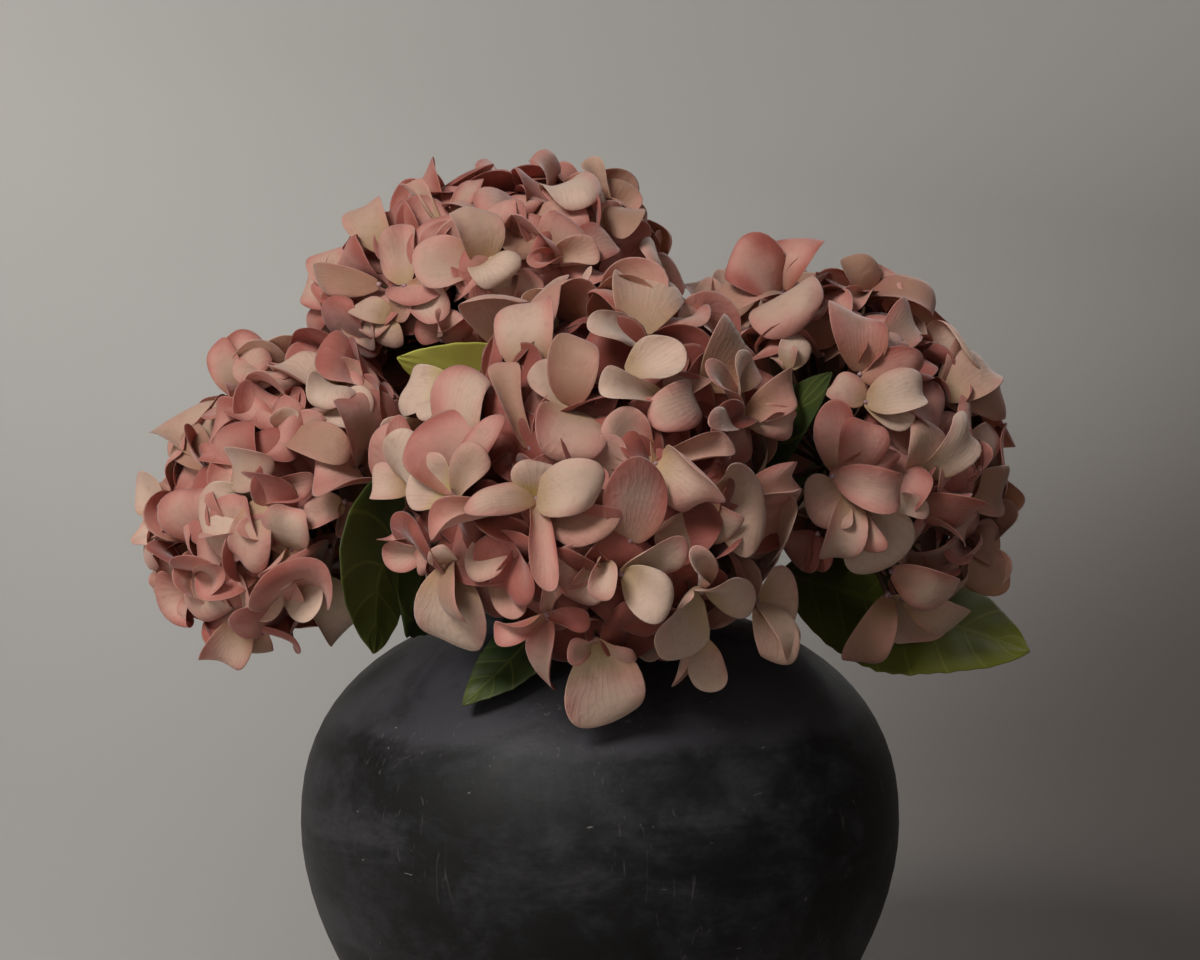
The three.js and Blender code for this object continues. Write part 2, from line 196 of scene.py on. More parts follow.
def clear_of_neighbours(point, planes):
    """The point, moved off the planes round a head and off the vase."""
    for _ in range(2):  # a move off one thing may lead towards another
        for on_plane, normal in planes:
            distance = (point - on_plane).dot(normal)
            point = point + normal * (eased(distance, BLOOM_GAP) - distance)
        point = clear_of_vase(point, VASE_GAP)
    return point


# %% [markdown]
# ## Helpers for pieces and materials
#
# Every piece is finished the same way: its mesh becomes an object at the origin, is shaded
# smooth, gets its modifiers and its material, rides on the frame and stands for its CAD solid.

# %% Finish a piece
def finish_piece(bm, name, material, node, modifiers=()):
    """Makes the bmesh an object of the frame, with modifiers given as (type, settings)."""
    mesh = bpy.data.meshes.new(name)
    bm.to_mesh(mesh)
    bm.free()
    mesh.shade_smooth()
    mesh.materials.append(material)
    piece = bpy.data.objects.new(name, mesh)
    bpy.context.scene.collection.objects.link(piece)
    for kind, settings in modifiers:
        modifier = piece.modifiers.new(kind.title(), kind)
        for key, value in settings.items():
            setattr(modifier, key, value)
    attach(piece, "root")
    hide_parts(node)
    print(f"{name}: {len(mesh.polygons)} faces before its modifiers")


SMOOTHED = ("SUBSURF", {"levels": 1, "render_levels": 1})


def sheet_of(thickness):
    """The modifier that gives a sheet its thickness, half to each side."""
    return ("SOLIDIFY", {"thickness": thickness, "offset": 0})


# %% [markdown]
# A material is a tree of nodes. `Shader` gives its nodes short names, so that a material reads
# like a sum: `math` adds or multiplies, `ramp` turns a value into a soft step, `mix` goes from one
# colour to another, and `bump` makes a relief. Numbers go straight to the node that uses them.

# %% Short names for shader nodes
class Shader:
    """Builds one material's nodes. Sockets go in and come out, and numbers may stand for them."""

    def __init__(self, name, **settings):
        self.material = bpy.data.materials.new(name)
        self.material.use_nodes = True
        self.tree = self.material.node_tree
        self.surface = self.tree.nodes["Principled BSDF"]
        for key, value in settings.items():
            self.surface.inputs[key].default_value = value

    def node(self, kind, inputs=(), **settings):
        """A new node. Its inputs are given by name or number."""
        made = self.tree.nodes.new("ShaderNode" + kind)
        for key, value in settings.items():
            setattr(made, key, value)
        for key, value in dict(inputs).items():
            self.feed(made.inputs[key], value)
        return made

    def feed(self, socket, value):
        """Links a socket to an input, or sets the input's own value."""
        if isinstance(value, bpy.types.NodeSocket):
            self.tree.links.new(value, socket)
        else:
            socket.default_value = value

    def math(self, operation, *values, clamp=False):
        """A sum, product or other operation on numbers."""
        made = self.node("Math", enumerate(values), operation=operation, use_clamp=clamp)
        return made.outputs[0]

    def mix(self, share, first, second):
        """A colour between two."""
        inputs = {0: share, 6: first, 7: second}
        return self.node("Mix", inputs, data_type="RGBA", clamp_factor=True).outputs[2]

    def ramp(self, value, low, high):
        """0 at low and 1 at high, with soft ends."""
        inputs = {"Value": value, "From Min": low, "From Max": high}
        made = self.node("MapRange", inputs, interpolation_type="SMOOTHSTEP")
        return made.outputs["Result"]

    def noise(self, scale, detail=3, vector=None, distortion=0.0, roughness=0.5):
        """Soft noise in space, with about as many clouds in a metre as the scale."""
        vector = vector or self.node("TexCoord").outputs["Object"]
        inputs = {"Vector": vector, "Scale": scale, "Detail": detail, "Roughness": roughness,
                  "Distortion": distortion}
        return self.node("TexNoise", inputs).outputs["Fac"]

    def bump(self, height, strength, distance, under=None):
        """A relief of so many metres, laid over another."""
        inputs = {"Height": height, "Strength": strength, "Distance": distance}
        if under:
            inputs["Normal"] = under
        return self.node("Bump", inputs).outputs[0]


def colour(red, green, blue):
    """A colour as a screen shows it, from 0 to 255, made linear."""
    shares = [value / 255 for value in (red, green, blue)]
    return (*[s / 12.92 if s < 0.04045 else ((s + 0.055) / 1.055) ** 2.4 for s in shares], 1)


# %% [markdown]
# ## One sepal
#
# What looks like a hydrangea's petal is a sepal: a piece of cloth as wide as it is long, round at
# the tip and narrow at its root. It could be cut from a disc, but a disc's faces meet in a pole.
# A square grid pressed into the outline keeps even four-sided faces, which bend well. The blank is
# made once. Its UV map holds the flat shape, so that veins follow each bend later.

# %% The sepal blank
SEPAL_GRID = 6
SEPAL_THICKNESS = 0.32 * MM
ROOT_SHARE = 0.24  # the root's width as a share of the widest
CROWDING = 0.4  # how much closer the faces are at the rim, where a sepal bends most
FLANK_POWER = 0.8  # below 1 the flanks of the narrow half are fuller than a cosine


def sepal_blank():
    """A flat sheet, from its narrow root at 0 to its round tip at 1 along X, and -1 to 1 along Y."""
    bm = bmesh.new()
    bmesh.ops.create_grid(bm, x_segments=SEPAL_GRID, y_segments=SEPAL_GRID, size=1)
    rim = bm.verts.layers.float.new("rim")
    for vert in bm.verts:
        along, aside = vert.co.x, vert.co.y
        vert[rim] = max(abs(aside), along)
        along *= 1 + CROWDING - CROWDING * abs(along)
        aside *= 1 + CROWDING - CROWDING * abs(aside)
        if along > 0:  # the tip's half is pressed into half a disc
            along, aside = along * math.sqrt(1 - aside**2 / 2), aside * math.sqrt(1 - along**2 / 2)
        else:
            flank = math.cos(along * math.pi / 2) ** FLANK_POWER
            aside *= ROOT_SHARE + (1 - ROOT_SHARE) * flank
        vert.co.x, vert.co.y = (along + 1) / 2, aside
    flat = bm.loops.layers.uv.new("flat")
    for face in bm.faces:
        for loop in face.loops:
            loop[flat].uv = ((loop.vert.co.y + 1) / 2, loop.vert.co.x)
    blank = bpy.data.meshes.new("sepal_blank")
    bm.to_mesh(blank)
    bm.free()
    return blank


SEPAL_BLANK = sepal_blank()
print(f"a sepal has {len(SEPAL_BLANK.polygons)} faces")


# %% [markdown]
# ## Bending a sepal
#
# A real sepal rises from the floret's heart, arches over and rolls back at its edge. Each one is
# laid from a `root` point to a `tip` point, and its form says the rest. Along its middle line
# `arch` is how far it turns down on the way and `hook` how far its tip turns more. Across it `cup`
# is how far each side turns up. `roll` is how far the rim turns back all round, more at one side
# than at the other. `twist` turns the tip, and ripples run round the edge.

# %% Named forms
FORMS = {
    "open": {"arch": 0.3, "hook": 0.3, "cup": 0.4, "roll": -1.2, "twist": 0.4},
    "flat": {"arch": 0.3, "hook": 0.9, "cup": 0.5, "roll": -1.6, "twist": 0.2},
    "arched": {"arch": 1.1, "hook": 0.9, "cup": 0.4, "roll": -1.9, "twist": 0.2},
    "cupped": {"arch": -1.6, "hook": 0.7, "cup": 1.3, "roll": -2.1, "twist": 0.1},
    "rolled": {"arch": -0.5, "hook": 1.5, "cup": 1.2, "roll": -3.0, "twist": 0.3},
    "folded": {"arch": -0.7, "hook": 0.9, "cup": 2.2, "roll": -1.6, "twist": 0.4},
    "twisted": {"arch": 0.3, "hook": 1.1, "cup": 1.3, "roll": -2.2, "twist": 1.3},
}
BENDS = ("arch", "hook", "cup", "roll", "twist")
LOOSE = 0.25  # the most that a bend differs from its form
TIPPED = 0.35  # the most that a sepal leans to one side, in radians
LEAN = 0.5  # how much more one side may turn up than the other
CUP_AT_ROOT = 1.2
CUP_LOST = 0.5  # how much of the cup is lost towards the tip
ROLLED_ALL_ROUND = 0.42  # the share of the roll that the whole rim has
ROLLED_SIDE = 2  # how far from the tip the most rolled place may lie, in radians
UNEVEN = 0.06
LEAST_SHOWN = 0.8
WAVE = 1.8 * MM
WAVE_SPREAD = (0.3, 1.3)
RIPPLES = (2, 3, 3, 5)
CRUMPLE = 3.6 * MM
CRUMPLES_PER_METRE = 42
CREASE = 1.8 * MM
CREASES_PER_METRE = 105
BEND_STEPS = 5
NEAR_END = 3  # the power that keeps a hook or a roll near the end of its line


def bent(reach, turn, more=0):
    """How far on and how high a line gets that turns by `turn` and, near its end, by `more`."""
    on = high = 0.0
    for step in range(BEND_STEPS):
        at = reach * (step + 0.5) / BEND_STEPS
        slope = turn * at + more * at**NEAR_END
        on += math.cos(slope) * reach / BEND_STEPS
        high += math.sin(slope) * reach / BEND_STEPS
    return on, high


def drawn_bend(form, draw):
    """A form's bends, each a little off, and a rim of its own."""
    bend = {key: form[key] + draw.uniform(-LOOSE, LOOSE) for key in BENDS}
    bend["lean"] = draw.uniform(-LEAN, LEAN)
    bend["wave"] = WAVE * draw.uniform(*WAVE_SPREAD)
    bend["ripples"] = draw.choice(RIPPLES)
    bend["phase"] = draw.uniform(0, math.tau)
    bend["rolled_side"] = draw.uniform(-ROLLED_SIDE, ROLLED_SIDE)
    return bend


# %% Bend one sepal
def rolled_in(share, aside, bend):
    """Where the rim's roll brings a point of the blank, and how far it drops."""
    from_middle = math.hypot(2 * share - 1, aside)
    angle = math.atan2(aside, 2 * share - 1)
    sided = (1 - ROLLED_ALL_ROUND) * math.cos(angle - bend["rolled_side"])
    turned_back = bend["roll"] * (ROLLED_ALL_ROUND + sided) * min(1, 2 * share)
    kept, drop = bent(from_middle, 0, turned_back)
    if from_middle > 0:
        kept *= 1 + UNEVEN * math.sin(2 * angle + bend["phase"])
        share = 0.5 + (share - 0.5) * kept / from_middle
        aside *= kept / from_middle
    return share, aside, drop


def cupped(share, aside, drop, rim, bend, half):
    """How far beside and above its middle line the cup, the wave and the twist bring a point."""
    shut = bend["cup"] * (CUP_AT_ROOT - CUP_LOST * share) * (1 + bend["lean"] * aside)
    wide, lift = bent(abs(aside), shut)
    wide -= drop * math.sin(shut * abs(aside))
    lift += drop * math.cos(shut * abs(aside))
    wide *= math.copysign(half, aside)
    lift *= half
    around = bend["ripples"] * math.atan2(aside, share) + bend["phase"]
    lift += bend["wave"] * rim**3 * math.sin(around)
    turned = bend["twist"] * share
    beside = wide * math.cos(turned) - lift * math.sin(turned)
    return beside, wide * math.sin(turned) + lift * math.cos(turned)


def bent_sepal(root, tip, outward, broad, form, draw, planes):
    """Where the blank's points go. The rim rolls back first, then the sepal bends across and
    along, and at last it is crumpled and kept clear of its head's neighbours."""
    span = tip - root
    along = span.normalized()
    up = (outward - along * outward.dot(along)).normalized()
    tipped = draw.uniform(-TIPPED, TIPPED)
    up = up * math.cos(tipped) + along.cross(up) * math.sin(tipped)
    across = up.cross(along)
    bend = drawn_bend(form, draw)
    shown = max(LEAST_SHOWN, bent(1, bend["cup"], bend["roll"] / 2)[0])
    half = broad / 2 / shown  # so that it looks as broad once bent
    arch, hook = bend["arch"], bend["hook"]
    end_on, end_high = bent(1, -arch, -hook)
    tilt = math.atan2(end_high, end_on)
    level = Matrix.Rotation(-tilt, 2)
    length = span.length / math.hypot(end_on, end_high)
    points = []
    for vert in SEPAL_BLANK.vertices:
        rim = math.hypot(vert.co.x, vert.co.y)
        share, aside, drop = rolled_in(vert.co.x, vert.co.y, bend)
        beside, above = cupped(share, aside, drop, rim, bend, half)
        forward, height = level @ Vector(bent(share, -arch, -hook)) * length
        slope = -arch * share - hook * share**NEAR_END - tilt
        upright = up * math.cos(slope) - along * math.sin(slope)
        point = root + along * forward + up * height + across * beside + upright * above
        creased = CREASE * rim * noise.noise(point * CREASES_PER_METRE)
        point += upright * (CRUMPLE * share * noise.noise(point * CRUMPLES_PER_METRE) + creased)
        points.append(clear_of_neighbours(point, planes))
    return points


# %% Lay a sepal
def petal_bmesh():
    """An empty bmesh with room for the sepals' tones."""
    bm = bmesh.new()
    bm.verts.layers.float_color.new("petal_tone")
    return bm


def lay_sepal(bm, points, tone):
    """Adds a copy of the blank to the bmesh, at its bent points."""
    first = len(bm.verts)
    bm.from_mesh(SEPAL_BLANK)
    bm.verts.ensure_lookup_table()
    petal_tone = bm.verts.layers.float_color["petal_tone"]
    for vert, point in zip(bm.verts[first:], points):
        vert.co = point
        vert[petal_tone] = tone


# %% [markdown]
# ## Tones
#
# The cloth's dye is uneven. Each sepal has a tone of four shares: how much pink blush covers it,
# how pink its rim is, how yellow-green its root is, and how far the cream has aged to taupe. The
# petal material reads them from an attribute, so all sepals share one material. A drawn floret
# takes a tone from its head's palette, or a darker one where it lies under the listed sepals: that
# darker tone is painted shade in the gaps.

# %% Named tones
TONES = {
    "cream": (0.0, 0.45, 0.4, 0.0),
    "sappy": (0.0, 0.35, 1.3, 0.1),
    "beige": (0.1, 0.5, 0.3, 0.5),
    "taupe": (0.15, 0.4, 0.1, 1.0),
    "blush": (0.25, 0.8, 0.3, 0.3),
    "pink": (0.45, 0.9, 0.15, 0.4),
    "coral": (0.7, 0.8, 0.1, 0.1),
    "rose": (1.0, 0.6, 0.0, 0.9),
    # the 'shade' tone pushes the blush past rose into the painted shade colour
    "shade": (1.9, 0.0, 0.0, 1.0),
}
PALETTES = {
    "front": ["cream", "cream", "beige", "beige", "blush", "blush", "pink", "taupe", "coral"],
    "left": ["cream", "beige", "blush", "blush", "pink", "pink", "taupe", "coral"],
    "right": ["cream", "beige", "blush", "pink", "pink", "coral", "coral", "taupe"],
    "top": ["cream", "beige", "blush", "blush", "pink", "taupe", "rose", "beige"],
    "back": ["beige", "blush", "pink", "taupe", "cream"],
}
# Tones of the florets under the listed sepals: their darker tones are painted shade in the gaps
UNDER_TONES = {
    "front": ["shade", "shade", "rose"],
    "left": ["coral", "pink", "rose"],
    "right": ["shade", "rose", "pink"],
    "top": ["rose", "pink", "coral"],
}
TONE_SPREAD = 0.1


def drawn_tone(draw, name):
    """A named tone, a little different for each sepal."""
    return tuple(max(0, share + draw.uniform(-TONE_SPREAD, TONE_SPREAD)) for share in TONES[name])


# %% [markdown]
# ## Sepals placed one by one
#
# The florets that show in the front view are laid sepal by sepal. A floret is the column
# and row of its heart, how far the heart stands proud of the dome in millimetres, and its sepals:
# tone, form, column and row of the tip, width in columns, and how far the tip stands proud.

# %% Florets of the front view
SEEN = {
    "front": [
        ((572, 409), 6, [
            ("taupe", "flat", (583, 326), 48, 27), ("cream", "cupped", (540, 352), 40, 20),
            ("blush", "arched", (562, 470), 70, 15), ("rose", "cupped", (520, 398), 34, 8)]),
        ((537, 378), 0, [
            ("blush", "arched", (531, 297), 60, 19), ("taupe", "flat", (556, 282), 32, 12),
            ("rose", "cupped", (498, 392), 36, 4)]),
        ((640, 338), 8, [
            ("beige", "arched", (655, 274), 74, 18), ("cream", "rolled", (588, 330), 48, 18),
            ("coral", "arched", (588, 302), 50, 10)]),
        ((624, 373), 12, [("cream", "cupped", (686, 346), 50, 26)]),
        ((668, 402), 8, [
            ("cream", "folded", (594, 382), 34, 22), ("taupe", "flat", (700, 372), 40, 8)]),
        ((697, 399), 4, [
            ("taupe", "arched", (738, 336), 72, 20), ("blush", "cupped", (702, 297), 48, 12),
            ("pink", "arched", (632, 424), 46, 14)]),
        ((742, 418), 4, [
            ("beige", "cupped", (754, 350), 58, 24), ("blush", "folded", (704, 362), 30, 22),
            ("pink", "cupped", (792, 406), 36, 22), ("beige", "rolled", (704, 424), 32, 26),
            ("blush", "arched", (799, 434), 36, 14), ("taupe", "arched", (806, 386), 38, 6)]),
        ((656, 464), 8, [
            ("cream", "twisted", (720, 506), 62, 24), ("pink", "cupped", (610, 412), 42, 20),
            ("beige", "flat", (668, 424), 36, 6), ("beige", "folded", (738, 440), 28, 16)]),
        ((630, 541), 8, [
            ("coral", "open", (642, 456), 64, 25), ("pink", "cupped", (600, 430), 48, 19)]),
        ((706, 512), 4, [
            ("beige", "cupped", (766, 500), 88, 20), ("rose", "flat", (736, 468), 42, 8),
            ("pink", "arched", (793, 470), 36, 12), ("blush", "rolled", (738, 540), 42, 14),
            ("taupe", "cupped", (806, 522), 82, 6), ("taupe", "flat", (655, 550), 38, 4)]),
        ((622, 574), 8, [
            ("blush", "cupped", (692, 548), 44, 20), ("cream", "rolled", (682, 608), 46, 24)]),
        ((702, 592), 4, [
            ("cream", "folded", (692, 544), 26, 20), ("cream", "open", (748, 590), 94, 20),
            ("cream", "cupped", (670, 654), 84, 22)]),
        ((758, 602), 0, [
            ("beige", "cupped", (800, 590), 58, 10), ("taupe", "flat", (748, 566), 52, 2),
            ("beige", "arched", (770, 676), 46, 10), ("beige", "arched", (788, 660), 42, 4)]),
        ((700, 636), 0, [
            ("blush", "cupped", (672, 689), 36, 10), ("cream", "cupped", (716, 692), 38, 14)]),
        ((596, 640), 4, [
            ("cream", "open", (611, 735), 74, 16), ("blush", "rolled", (644, 668), 42, 16),
            ("blush", "folded", (566, 650), 30, 12)]),
        ((536, 498), 8, [
            ("sappy", "flat", (544, 458), 56, 15), ("cream", "arched", (616, 486), 52, 24),
            ("blush", "arched", (466, 506), 36, 22), ("blush", "folded", (416, 532), 34, 24),
            ("taupe", "cupped", (619, 520), 60, 20), ("pink", "folded", (552, 592), 30, 24)]),
        ((500, 526), 0, [
            ("rose", "cupped", (522, 608), 52, 18), ("beige", "cupped", (470, 578), 42, 15),
            ("rose", "flat", (545, 548), 40, 4), ("taupe", "cupped", (512, 620), 44, 12)]),
        ((547, 614), 8, [
            ("pink", "folded", (552, 576), 20, 18), ("pink", "folded", (490, 637), 22, 18),
            ("rose", "folded", (590, 621), 24, 16), ("coral", "twisted", (540, 679), 40, 16)]),
        ((602, 556), 4, [
            ("pink", "cupped", (558, 576), 42, 18), ("blush", "folded", (602, 602), 28, 22),
            ("blush", "rolled", (574, 614), 38, 12)]),
        ((452, 562), 4, [
            ("taupe", "arched", (462, 629), 50, 17), ("cream", "open", (455, 659), 80, 8),
            ("cream", "flat", (434, 546), 26, 12)]),
        ((428, 546), 4, [
            ("pink", "cupped", (378, 560), 34, 12), ("pink", "folded", (382, 532), 18, 14),
            ("pink", "flat", (425, 576), 28, 8)]),
        ((456, 498), 6, [
            ("pink", "cupped", (436, 410), 76, 22), ("sappy", "cupped", (406, 466), 58, 18),
            ("beige", "rolled", (494, 436), 38, 28), ("blush", "arched", (486, 361), 62, 16),
            ("pink", "flat", (510, 416), 30, 16)]),
        ((530, 448), 4, [("taupe", "folded", (497, 354), 28, 20)]),
        ((412, 488), 2, [
            ("blush", "cupped", (362, 438), 66, 12), ("coral", "flat", (406, 416), 30, 14),
            ("cream", "arched", (420, 426), 46, 16), ("cream", "arched", (365, 484), 38, 12)]),
        ((460, 392), 2, [
            ("sappy", "flat", (394, 395), 50, 8), ("cream", "flat", (420, 424), 32, 10)]),
    ],
    "left": [
        ((245, 396), 4, [
            ("pink", "flat", (212, 340), 38, 8), ("pink", "arched", (264, 334), 60, 12),
            ("coral", "cupped", (292, 404), 46, 12), ("pink", "folded", (218, 418), 40, 12)]),
        ((338, 388), 4, [
            ("cream", "rolled", (270, 356), 60, 18), ("taupe", "cupped", (374, 368), 50, 12),
            ("cream", "arched", (322, 414), 52, 14)]),
        ((322, 412), 2, [
            ("cream", "flat", (376, 420), 48, 14), ("blush", "flat", (392, 394), 32, 6)]),
        ((283, 434), 4, [
            ("pink", "folded", (230, 404), 36, 12), ("cream", "folded", (292, 408), 28, 14),
            ("taupe", "arched", (360, 462), 44, 18), ("pink", "flat", (330, 432), 44, 6)]),
        ((216, 466), 4, [
            ("beige", "cupped", (170, 402), 72, 12), ("beige", "arched", (284, 470), 46, 14),
            ("rose", "cupped", (178, 510), 74, 6), ("taupe", "flat", (184, 436), 46, 8)]),
        ((264, 500), 6, [
            ("cream", "cupped", (194, 534), 86, 16), ("pink", "folded", (316, 480), 28, 10),
            ("blush", "arched", (246, 578), 46, 8)]),
        ((292, 549), 0, [
            ("blush", "arched", (292, 500), 52, 12), ("pink", "folded", (240, 522), 36, 12),
            ("cream", "cupped", (306, 624), 50, 12), ("cream", "rolled", (353, 634), 62, 10),
            ("blush", "folded", (264, 588), 30, 10)]),
        ((345, 502), 0, [
            ("rose", "cupped", (354, 536), 46, 4), ("blush", "rolled", (296, 520), 40, 8)]),
        ((162, 515), 0, [
            ("cream", "cupped", (132, 478), 48, 6), ("cream", "cupped", (134, 544), 58, 8),
            ("blush", "arched", (160, 568), 44, 8)]),
        ((196, 590), 2, [
            ("coral", "cupped", (157, 610), 62, 8), ("pink", "folded", (220, 568), 36, 14),
            ("coral", "arched", (186, 633), 52, 8), ("beige", "cupped", (244, 600), 68, 10)]),
        ((252, 606), 0, [
            ("blush", "arched", (221, 675), 48, 6), ("beige", "folded", (277, 590), 32, 8),
            ("taupe", "flat", (272, 662), 28, 2)]),
    ],
    "right": [
        ((782, 292), 0, [
            ("coral", "arched", (712, 254), 72, 6), ("taupe", "arched", (706, 312), 68, 4),
            ("coral", "arched", (814, 231), 62, 6), ("blush", "arched", (802, 336), 84, 12),
            ("taupe", "folded", (790, 246), 28, 8)]),
        ((868, 292), 2, [
            ("taupe", "arched", (850, 252), 50, 2), ("blush", "cupped", (898, 272), 50, 10),
            ("taupe", "folded", (848, 308), 28, 6), ("taupe", "arched", (940, 316), 54, 4)]),
        ((860, 374), 6, [
            ("pink", "arched", (842, 304), 62, 15), ("pink", "arched", (908, 314), 46, 12),
            ("coral", "folded", (874, 338), 20, 15), ("coral", "arched", (922, 372), 48, 14)]),
        ((866, 402), 6, [
            ("cream", "arched", (926, 388), 50, 17), ("cream", "cupped", (922, 420), 36, 18),
            ("blush", "flat", (826, 380), 40, 4)]),
        ((940, 398), 2, [
            ("beige", "arched", (986, 366), 62, 12), ("blush", "arched", (984, 408), 32, 10),
            ("taupe", "arched", (1003, 412), 50, 4), ("taupe", "flat", (955, 340), 44, 0)]),
        ((846, 478), 4, [
            ("pink", "cupped", (830, 400), 44, 12), ("coral", "arched", (866, 408), 50, 14)]),
        ((832, 476), 8, [
            ("coral", "arched", (912, 488), 44, 18), ("coral", "flat", (902, 452), 30, 14)]),
        ((912, 480), 4, [
            ("beige", "arched", (924, 408), 56, 14), ("cream", "arched", (962, 412), 44, 14),
            ("beige", "flat", (996, 436), 46, 8), ("rose", "rolled", (980, 474), 32, 10)]),
        ((848, 492), 6, [
            ("beige", "cupped", (814, 512), 60, 10), ("blush", "arched", (830, 564), 42, 8),
            ("cream", "cupped", (893, 575), 74, 14), ("pink", "folded", (878, 556), 30, 16),
            ("cream", "folded", (928, 512), 26, 18)]),
        ((908, 500), 4, [
            ("rose", "arched", (976, 510), 46, 14), ("blush", "folded", (980, 536), 36, 16),
            ("taupe", "arched", (1000, 478), 54, 4)]),
        ((966, 536), 0, [
            ("taupe", "arched", (1003, 556), 48, 6), ("taupe", "arched", (990, 606), 54, 4),
            ("taupe", "flat", (1002, 540), 44, 0), ("rose", "folded", (944, 556), 30, 8)]),
        ((892, 572), 6, [
            ("pink", "arched", (950, 596), 52, 16), ("rose", "folded", (960, 572), 22, 10)]),
        ((888, 594), 2, [
            ("cream", "cupped", (936, 648), 64, 10), ("beige", "arched", (962, 622), 44, 8),
            ("taupe", "arched", (846, 674), 46, 6)]),
        ((818, 534), 0, [
            ("rose", "cupped", (783, 562), 48, 2), ("rose", "folded", (812, 572), 30, 0)]),
        ((790, 370), 0, [
            ("cream", "arched", (800, 334), 36, 6), ("beige", "folded", (776, 352), 30, 4)]),
    ],
    "top": [
        ((548, 190), 0, [
            ("pink", "arched", (530, 147), 66, 10), ("cream", "arched", (592, 212), 62, 14),
            ("taupe", "cupped", (512, 246), 54, 14)]),
        ((556, 262), 0, [
            ("blush", "arched", (584, 216), 70, 16), ("rose", "cupped", (540, 244), 44, 12),
            ("pink", "arched", (612, 236), 44, 8), ("coral", "folded", (532, 262), 28, 12),
            ("beige", "folded", (600, 250), 38, 18)]),
        ((610, 216), 0, [
            ("beige", "folded", (583, 154), 26, 10), ("taupe", "cupped", (632, 186), 50, 6),
            ("taupe", "arched", (612, 240), 50, 8), ("taupe", "flat", (657, 226), 42, 2)]),
        ((640, 282), 0, [
            ("cream", "arched", (640, 244), 56, 16), ("blush", "flat", (602, 284), 42, 12),
            ("pink", "arched", (684, 268), 52, 2)]),
        ((448, 232), 2, [
            ("coral", "cupped", (436, 178), 54, 8), ("beige", "folded", (403, 182), 20, 2),
            ("pink", "flat", (482, 180), 26, 2)]),
        ((482, 264), 6, [
            ("beige", "arched", (464, 203), 56, 18), ("cream", "arched", (512, 284), 54, 18),
            ("blush", "cupped", (414, 262), 58, 18), ("cream", "flat", (500, 244), 40, 8)]),
        ((404, 286), 4, [
            ("taupe", "arched", (318, 280), 38, 14), ("beige", "cupped", (400, 220), 48, 12),
            ("beige", "arched", (372, 208), 46, 4), ("blush", "cupped", (446, 316), 44, 10)]),
        ((352, 298), 0, [
            ("blush", "flat", (290, 286), 48, 4), ("pink", "flat", (322, 242), 42, 2),
            ("beige", "cupped", (352, 358), 62, 14), ("rose", "flat", (298, 346), 42, 2)]),
        ((392, 318), 2, [
            ("beige", "flat", (378, 352), 44, 6), ("blush", "open", (350, 340), 36, 10),
            ("beige", "arched", (348, 306), 38, 10), ("taupe", "open", (410, 298), 34, 6)]),
        ((442, 340), 0, [
            ("rose", "cupped", (416, 320), 36, 4), ("blush", "folded", (450, 306), 34, 6),
            ("rose", "arched", (474, 322), 34, 4)]),
        ((490, 346), 0, [
            ("rose", "folded", (478, 284), 32, 12), ("cream", "folded", (508, 258), 26, 12),
            ("coral", "folded", (538, 262), 30, 8), ("rose", "cupped", (462, 330), 38, 4)]),
    ],
    "back": [],
}
seen_sepals = {name: sum(len(sepals) for _, _, sepals in florets) for name, florets in SEEN.items()}
print("sepals placed by hand:", seen_sepals)

# %% [markdown]
# ## Laying them on a head
#
# A listed sepal leans on the dome's own outward direction and turns a little to the front,
# where it was seen. So the head stays round from any side. Two places that are near each other
# in the front view may be far apart in depth, so a sepal that would be too long for its kind grows
# from a heart of its own, deeper in the dome.

# %% Lay the seen florets
TURNED_TO_VIEW = 0.3
LEAST_FACING = 0.55
LONGEST = 38 * MM


def outward_at(bloom, point):
    """The dome's outward direction near a point."""
    local = bloom["turn"].inverted() @ (point - bloom["centre"])
    return on_dome(bloom, local.normalized())[1]


def lay_seen(bm, name, draw, planes):
    """The listed florets. Returns their hearts with the outward directions, and the same
    for the deeper hearts."""
    bloom = BLOOMS[name]
    hearts, deeper = [], []
    for pixel, proud, sepals in SEEN[name]:
        heart = seen_on_dome(bloom, pixel, proud * MM)
        hearts.append((heart, outward_at(bloom, heart)))
        for tone, form, tip_pixel, columns, tip_proud in sepals:
            tip = seen_on_dome(bloom, tip_pixel, tip_proud * MM)
            outward = outward_at(bloom, (heart + tip) / 2)
            facing = -outward.dot(AHEAD)
            outward -= AHEAD * (TURNED_TO_VIEW + max(0, LEAST_FACING - facing))
            broad = columns * VIEW_STEP
            root = heart
            if (heart - tip).length > LONGEST:
                root = tip + (heart - tip).normalized() * LONGEST
                deeper.append((root, outward.normalized()))
            points = bent_sepal(root, tip, outward, broad, FORMS[form], draw, planes)
            lay_sepal(bm, points, drawn_tone(draw, tone))
    return hearts, deeper
